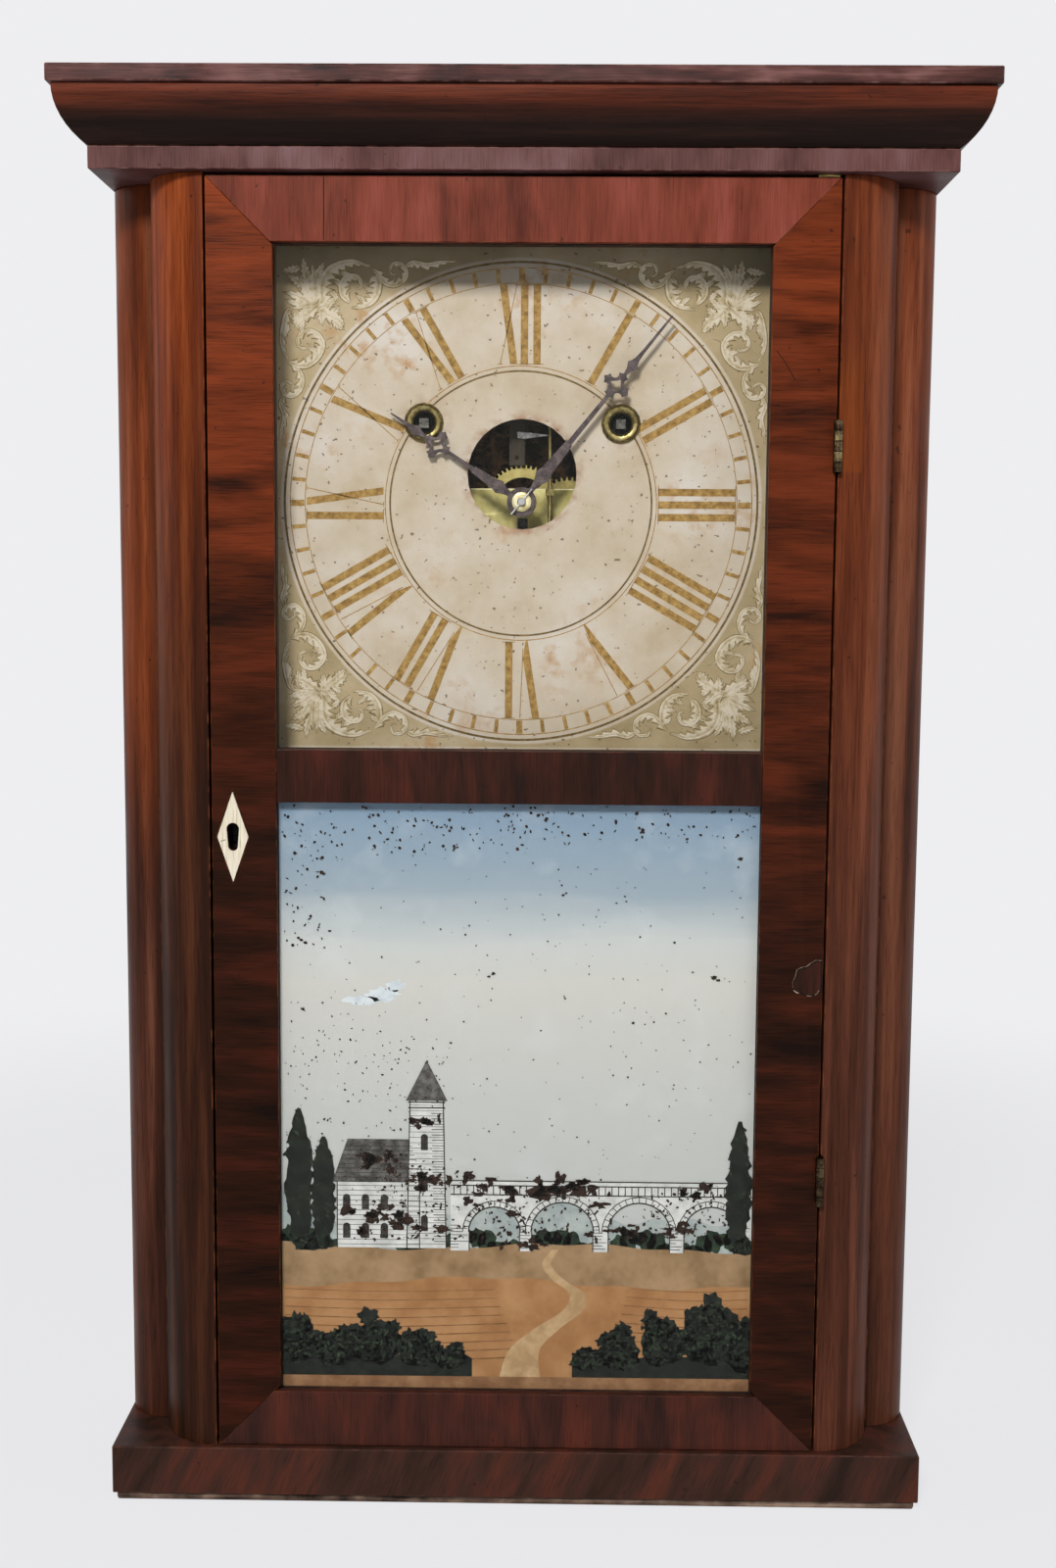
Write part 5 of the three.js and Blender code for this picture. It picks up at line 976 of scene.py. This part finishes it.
def paintLandscape(spec):
    chance = random.Random(8)
    half, low, high = tablet["half"], tablet["low"], tablet["high"]
    bridge, mill, tower = (SimpleNamespace(**spec[key]) for key in ("bridge", "mill", "tower"))

    def slope(name, layer):
        base, parts, foot = spec[name]
        coat("tablet_" + name, [under(waves(base, parts), foot)], layer, name)

    coat("tablet_backing", [box(-half, low, half, high)], 15, "backing")
    coat("tablet_sky", [box(-half, low, half, high)], 14, "sky")
    slope("hills", 13)
    trees = [blob(chance, -108 + 4.3 * k, 121 + 3.5 * math.sin(k * 0.7), 4.2, 4.5 + 1.5 * math.sin(k * 2.1), 0.16)
             for k in range(spec["trees"])]
    coat("tablet_woods", trees, 12, "woods")
    slope("meadow", 11)
    slope("field", 10)
    furrows = [(smoothLine([(x + dx * k, z + dz * k) for x, z, dx, dz in row]), 0.35 + 0.05 * k)
               for k in range(9) for row in spec["furrows"]]  # ploughed lines that follow the slope
    coat("tablet_furrows", [], 9.4, "furrow", furrows)
    banks = [smoothLine([(x + side * w / 2, z) for x, z, w in spec["lane"]]) for side in (-1, 1)]
    coat("tablet_lane", [banks[0] + banks[1][::-1]], 9, "lane")

    outline = [(bridge.left, bridge.foot)]
    for x, radius in bridge.arches:
        outline += under(arc(x, bridge.spring, radius, 180, 0), bridge.foot)
    outline += box(bridge.left, bridge.foot, bridge.right, bridge.deck)[1:]
    coat("tablet_stone", [outline, box(mill.left, mill.foot, mill.right, mill.eaves)], 8, "stone")
    roof = [(mill.left - mill.over, mill.eaves), (mill.right + mill.over, mill.eaves),
            (mill.right - mill.hip, mill.ridge), (mill.left + mill.hip, mill.ridge)]
    coat("tablet_roof", [roof], 7, "roof")
    shaft = [(tower.left, tower.foot), (tower.right, tower.foot), (tower.right - tower.batter, tower.head),
             (tower.left + tower.batter, tower.head)]
    coat("tablet_tower", [shaft], 6, "stone")
    spire = [(tower.left - 0.5, tower.head), (tower.right + 0.5, tower.head),
             ((tower.left + tower.right) / 2, tower.tip)]
    coat("tablet_spire", [spire], 6, "roof")
    engrave(bridge, mill, tower, chance)

    bushes = []
    for x, z, wide, tall in spec["bushes"]:  # each bush is a heap of rounded tufts
        for k in range(16):
            a, reach = chance.uniform(0, math.tau), chance.uniform(0.2, 0.85)
            up = tall * reach * math.sin(a) * (1 if math.sin(a) > 0 else 0.5)
            bushes.append(blob(chance, x + wide * reach * math.cos(a), z + up, wide * chance.uniform(0.24, 0.4),
                               tall * chance.uniform(0.22, 0.38), 0.32, 20))
        bushes.append(blob(chance, x, z, wide * 0.8, tall * 0.7, 0.1))
    ground = [under(waves(69, parts, left, right, 40), 57) for parts, left, right in spec["ground"]]
    poplars = []
    for x, foot, tip, wide in spec["poplars"]:
        right, left = [], []
        for side, edge in ((1, right), (-1, left)):
            for s in (k / 30 for k in range(31)):
                swell = math.sin(math.pi * (0.06 + 0.92 * s)) ** 0.7 * chance.uniform(0.8, 1.2)
                edge.append((onPane(x + side * wide * swell), foot + (tip - foot) * s))
        poplars.append(right + left[::-1])
    coat("tablet_hedges", bushes + ground + poplars, 2.5, "hedge")
    left, right = spec["strip"]
    coat("tablet_strip", [[(-half, low), (half, low), (half, right), (-half, left)]], 1.6, "strip")

    # flaked losses: ragged dark patches, thickest on the stonework
    losses = []
    for x, z, count, spread, size in spec["losses"]:
        for k in range(count):
            losses.append(blob(chance, x + chance.gauss(0, spread * 0.6), z + chance.gauss(0, spread * 0.24),
                               size * chance.uniform(0.2, 1.0), size * chance.uniform(0.2, 0.75), 0.5, 14))
    losses += [blob(chance, x, z, size, size * 0.7, 0.45, 12) for x, z, size in spec["chips"]]
    coat("tablet_rubbed", [blob(chance, *patch, 0.3, 22) for patch in spec["rubbed"]], 13.4, "rubbed")
    coat("tablet_losses", losses, 1, "loss")
    return bushes + poplars


greens = paintLandscape(landscape)


# scattered dabs by nodes: leaves in the hedges, flaked losses and specks in the paint
def dabTree():
    tree, given = startTree("paintDabs", {"Float": "Density Depth", "Int": "Seed Sides", "Vector": "Least Most",
                                          "Material": "Paint"})
    field = {"Mesh": given["Geometry"], "Density": given["Density"], "Seed": given["Seed"]}
    spots = put(tree, "GeometryNodeDistributePointsOnFaces", field)
    sizes = {"Vertices": given["Sides"], "Radius": 1.0, "Depth": given["Depth"]}
    disc = put(tree, "GeometryNodeMeshCylinder", sizes)
    disc = put(tree, "GeometryNodeTransform", {"Geometry": disc, "Rotation": (math.pi / 2, 0, 0)})
    dabs = standOn(tree, spots, disc, anyVector(tree, (0, 0, 0), (0, math.tau, 0), 5),
                   anyVector(tree, given["Least"], given["Most"], given["Seed"]))
    return endTree(tree, dabs, given["Paint"])


def scatter(name, tree, outlines, layer, paint, density, seed, least, most, sides):
    points, faces = [], []
    depth = tablet["pane"] + tablet["coat"] * (layer + 0.4)
    for outline in outlines:
        faces.append(list(range(len(points), len(points) + len(outline))))
        points.extend((x * mm, depth * mm, z * mm) for x, z in outline)
    values = {"Density": density, "Seed": seed, "Least": (least[0] * mm, 1.0, least[1] * mm),
              "Most": (most[0] * mm, 1.0, most[1] * mm), "Depth": tablet["coat"] * 0.5 * mm, "Sides": sides,
              "Paint": finish[paint]}
    mesh = grow(name, tree, values, rawMesh(name + "_field", points, faces))
    addPiece(name, mesh, None, "door", "painted_glass")


half, dabs = tablet["half"] - 1.5, dabTree()
# piece: outlines, layer, paint, dabs per square metre, seed, least and most half width and height in mm, sides
dabbed = {
    "tablet_sprigs": (greens, 2.2, "hedge", 90000.0, 13, (0.5, 0.4), (1.9, 0.9), 7),
    "tablet_leaves": (greens, 1.9, "leaf", 60000.0, 3, (0.3, 0.2), (1.3, 0.6), 7),
    "tablet_specks": ([box(-half, 122, half, 322)], 0, "loss", 9000.0, 11, (0.12, 0.12), (0.55, 0.5), 6),
    "tablet_specks_left": ([[(-half, 150), (-40, 150), (-30, 215), (-half, 235)]],
                           0, "loss", 30000.0, 4, (0.15, 0.12), (0.75, 0.45), 6),
    "tablet_specks_top": ([[(-half, 296), (-20, 302), (half, 310), (half, 323), (-half, 323)],
                           [(-half, 255), (-84, 262), (-88, 296), (-half, 296)]],
                          0, "loss", 46000.0, 9, (0.2, 0.2), (0.95, 0.8), 7),
    "tablet_chips": ([[(-72, 122), (30, 124), (44, 146), (-10, 150), (-60, 166)],
                      [(52, 122), (100, 124), (96, 147), (60, 146)]],
                     0.4, "loss", 110000.0, 21, (0.2, 0.15), (1.1, 0.7), 7),
}
for name, row in dabbed.items():
    scatter(name, dabs, *row)
print("lower glass painted")

# wound wire and wound strip by nodes: the gong and the two mainsprings
gongBlock = {"centre": (0, 271.5), "stud": ((-16.6, 271.5), (0.0, 271.5)), "thick": 3.0, "depths": (27.6, 30.4),
             "profile": ((26.6, 4.5), (27.0, 5.4), (31.5, 5.6), (33.0, 6.9), (52.0, 7.0), (53.0, 9.0), (56.7, 9.5))}
gong = {"Outer": 42 * mm, "Inner": 16 * mm, "Turns": 4.0, "Wire": 1.2 * mm, "Metal": finish["spring"],
        "Centre": (0, 29 * mm, gongBlock["centre"][1] * mm)}
mainspring = {"Outer": 20 * mm, "Inner": 3.9 * mm, "Turns": 9.0, "Thick": 0.45 * mm, "Wide": 12.2 * mm,
              "Metal": finish["spring"], "Centre": (dial["winding"][0] * mm, 26.4 * mm, dial["winding"][1] * mm)}


def woundTree(name, strip):
    tree, given = startTree(name, {"Float": "Outer Inner Turns " + ("Thick Wide" if strip else "Wire"),
                                   "Vector": "Centre", "Material": "Metal"})
    line = put(tree, "GeometryNodeCurveSpiral", {"Resolution": 48, "Rotations": given["Turns"], "Height": 0.0,
                                                 "Start Radius": given["Outer"], "End Radius": given["Inner"]})
    line = put(tree, "GeometryNodeSetCurveNormal", {"Curve": line}, mode="Z_UP")
    if strip:
        sides = {"Width": given["Wide"], "Height": given["Thick"]}
        profile = put(tree, "GeometryNodeCurvePrimitiveQuadrilateral", sides)
    else:
        profile = put(tree, "GeometryNodeCurvePrimitiveCircle", {"Resolution": 12, "Radius": given["Wire"]})
    body = put(tree, "GeometryNodeCurveToMesh", {"Curve": line, "Profile Curve": profile, "Fill Caps": True})
    placed = put(tree, "GeometryNodeTransform", {"Geometry": body, "Translation": given["Centre"],
                                                 "Rotation": (math.pi / 2, 0, 0)})
    return endTree(tree, placed, given["Metal"])


addPiece("gong_coil", grow("gong_coil", woundTree("woundWire", False), gong), None, "case", "steel", "gong")
strip = woundTree("woundStrip", True)
for side, node in ((-1, "strike_mainspring"), (1, "time_mainspring")):
    x, y, z = mainspring["Centre"]
    mesh = grow(node + "_coil", strip, dict(mainspring, Centre=(side * x, y, z)))
    addPiece(node + "_coil", mesh, None, "case", "steel", node)
store = ([], [])
turned(store, gongBlock["centre"], gongBlock["profile"])
addPiece("gong_block", meshOf("gong_block", store, 35), finish["iron"], "case", "steel")
flatPiece("gong_stud", "iron", "case", "steel", gongBlock["depths"], lines=[(gongBlock["stud"], gongBlock["thick"])])
print("springs and gong wound")

# what shows in the dial's centre opening: a painted highlight along the strap's top edge, a steel tongue, the bracket
# below the hands
centreWork = {"edge": ((-23.6, 464.2), (23.6, 464.2)), "edgeWidth": 0.5, "edgeDepths": (-4.06, -3.98),
              "tongue": ((-2.6, 490.0), (-2.3, 487.3), (0.5, 486.9), (12.2, 488.5), (5.0, 489.4)),
              "tongueDepths": (-4.7, -3.98), "bracketDepths": (-5.1, -3.98),
              "bracket": ((-2.0, 451.0), (2.4, 451.0), (2.6, 445.6), (-2.2, 445.6)), "rivet": (0.1, 447.6),
              "rivetProfile": ((-5.7, 0.35), (-5.55, 0.75), (-5.05, 0.9), (-5.0, 0.9))}
flatPiece("strap_edge_highlight", "filed", "case", "brass", centreWork["edgeDepths"],
          lines=[(centreWork["edge"], centreWork["edgeWidth"])])
flatPiece("plate_steel_tongue", "steel", "case", "steel", centreWork["tongueDepths"], [centreWork["tongue"]])
store = ([], [])
slab(store, centreWork["bracket"], *centreWork["bracketDepths"])
turned(store, centreWork["rivet"], centreWork["rivetProfile"], 16)
addPiece("plate_bracket", meshOf("plate_bracket", store), finish["iron"], "case", "steel")

# cut nails of the back board by nodes: faceted heads along its four edges, driven almost flush
nails = {"Head": 2.2 * mm, "Rise": 0.5 * mm, "Facets": 6, "Metal": finish["iron"]}
nailRows = {"half": 172, "low": 40, "high": 612, "across": 5, "up": 7, "face": 64.95}


def nailTree():
    tree, given = startTree("cutNails", {"Float": "Head Rise", "Int": "Facets", "Material": "Metal"})
    spots = put(tree, "GeometryNodeMeshToPoints", {0: given["Geometry"]})
    small = calc(tree, "MULTIPLY", given["Head"], 0.45)
    head = put(tree, "GeometryNodeMeshCone", {"Vertices": given["Facets"], "Radius Top": small,
                                              "Radius Bottom": given["Head"], "Depth": given["Rise"]})
    spin = anyVector(tree, (-math.pi / 2, 0, 0), (-math.pi / 2, math.pi, 0), 2)
    return endTree(tree, standOn(tree, spots, head, spin), given["Metal"])


def nailSpots(spec):
    half, low, high, across, up = (spec[key] for key in ("half", "low", "high", "across", "up"))
    spots = [(half * (2 * k / (across - 1) - 1), z) for k in range(across) for z in (low, high)]
    spots += [(side * half, low + (high - low) * k / (up - 1)) for k in range(1, up - 1) for side in (-1, 1)]
    return rawMesh("nail_spots", [(x * mm, spec["face"] * mm, z * mm) for x, z in spots])


mesh = grow("back_nails", nailTree(), nails, nailSpots(nailRows))
addPiece("back_nails", mesh, None, "case", "steel")

# brass wire that peeps out above the door, and the joint between the two back boards
pinWire = {"line": ((125.9, 594.35), (130.2, 594.6), (135.0, 594.4)), "thick": 0.9, "depths": (-46.4, -45.5)}
joint = {"line": ((-38.0, 28.0), (-37.6, 330.0), (-38.2, 626.0)), "width": 0.8, "depths": (64.9, 65.02)}
flatPiece("door_top_pin", "wire", "case", "brass", pinWire["depths"],
          lines=[(smoothLine(pinWire["line"], 6), pinWire["thick"])])
flatPiece("back_board_joint", "crack", "case", "dark_wood", joint["depths"], lines=[(joint["line"], joint["width"])])

# small marks of age and use on the door: two cracks, a replaced patch with a painted highlight along its rim, a cracked
# keyhole plate
marks = {"cracks": ((((-85.1, 566.8), (-85.0, 593.2)), 0.4), (((109.6, 521.4), (113.2, 516.6), (117.8, 509.0)), 0.35)),
         "patch": ((123.2, 242.6), (123.0, 245.6), (124.2, 248.6), (124.8, 251.0), (128.8, 252.4), (130.6, 253.8),
                   (132.8, 255.2), (135.2, 255.2), (135.2, 241.6), (133.4, 240.4), (131.0, 239.6), (128.4, 239.8),
                   (125.6, 240.9)),
         "rimWidth": 0.7,
         # painted highlight along the patch's rim, pale grey lines: line, width
         "rimHighlight": ((((122.8, 243.1), (122.5, 245.5), (123.7, 248.4), (124.3, 251.3), (126.3, 252.4)), 0.24),
                     (((126.3, 252.4), (128.5, 252.8), (130.2, 254.2), (132.5, 255.7), (135.2, 255.6)), 0.2),
                     (((123.1, 242.0), (124.2, 241.1), (125.4, 240.7)), 0.45), (((128.9, 239.6), (131.1, 239.4)), 0.3),
                     (((132.6, 239.9), (133.6, 240.7), (134.3, 242.0)), 0.45)),
         "plateCrack": (((-132.2, 306.7), (-131.0, 307.3), (-129.8, 307.5)), 0.25), "plateDepths": (-47.43, -47.3),
         # depths in front of and behind the door's face, each mark a hair above the one before
         "crackDepths": (-47.02, -46.9), "rimDepths": (-47.03, -46.9), "highlightDepths": (-47.04, -46.9)}
store = ([], [])
for line, width in marks["cracks"]:
    band(store, line, width, *marks["crackDepths"])
for ends in zip(marks["patch"], marks["patch"][1:] + marks["patch"][:1]):
    band(store, ends, marks["rimWidth"], *marks["rimDepths"])
addPiece("door_cracks", meshOf("door_cracks", store), finish["crack"], "door", "dark_wood")
flatPiece("door_patch", "midRail", "door", "mahogany_veneer", marks["crackDepths"], [marks["patch"]])
flatPiece("door_patch_highlight", "rimHighlight", "door", "dark_wood", marks["highlightDepths"], lines=marks["rimHighlight"])
flatPiece("escutcheon_crack", "crack", "door", "bone", marks["plateDepths"], lines=[marks["plateCrack"]])
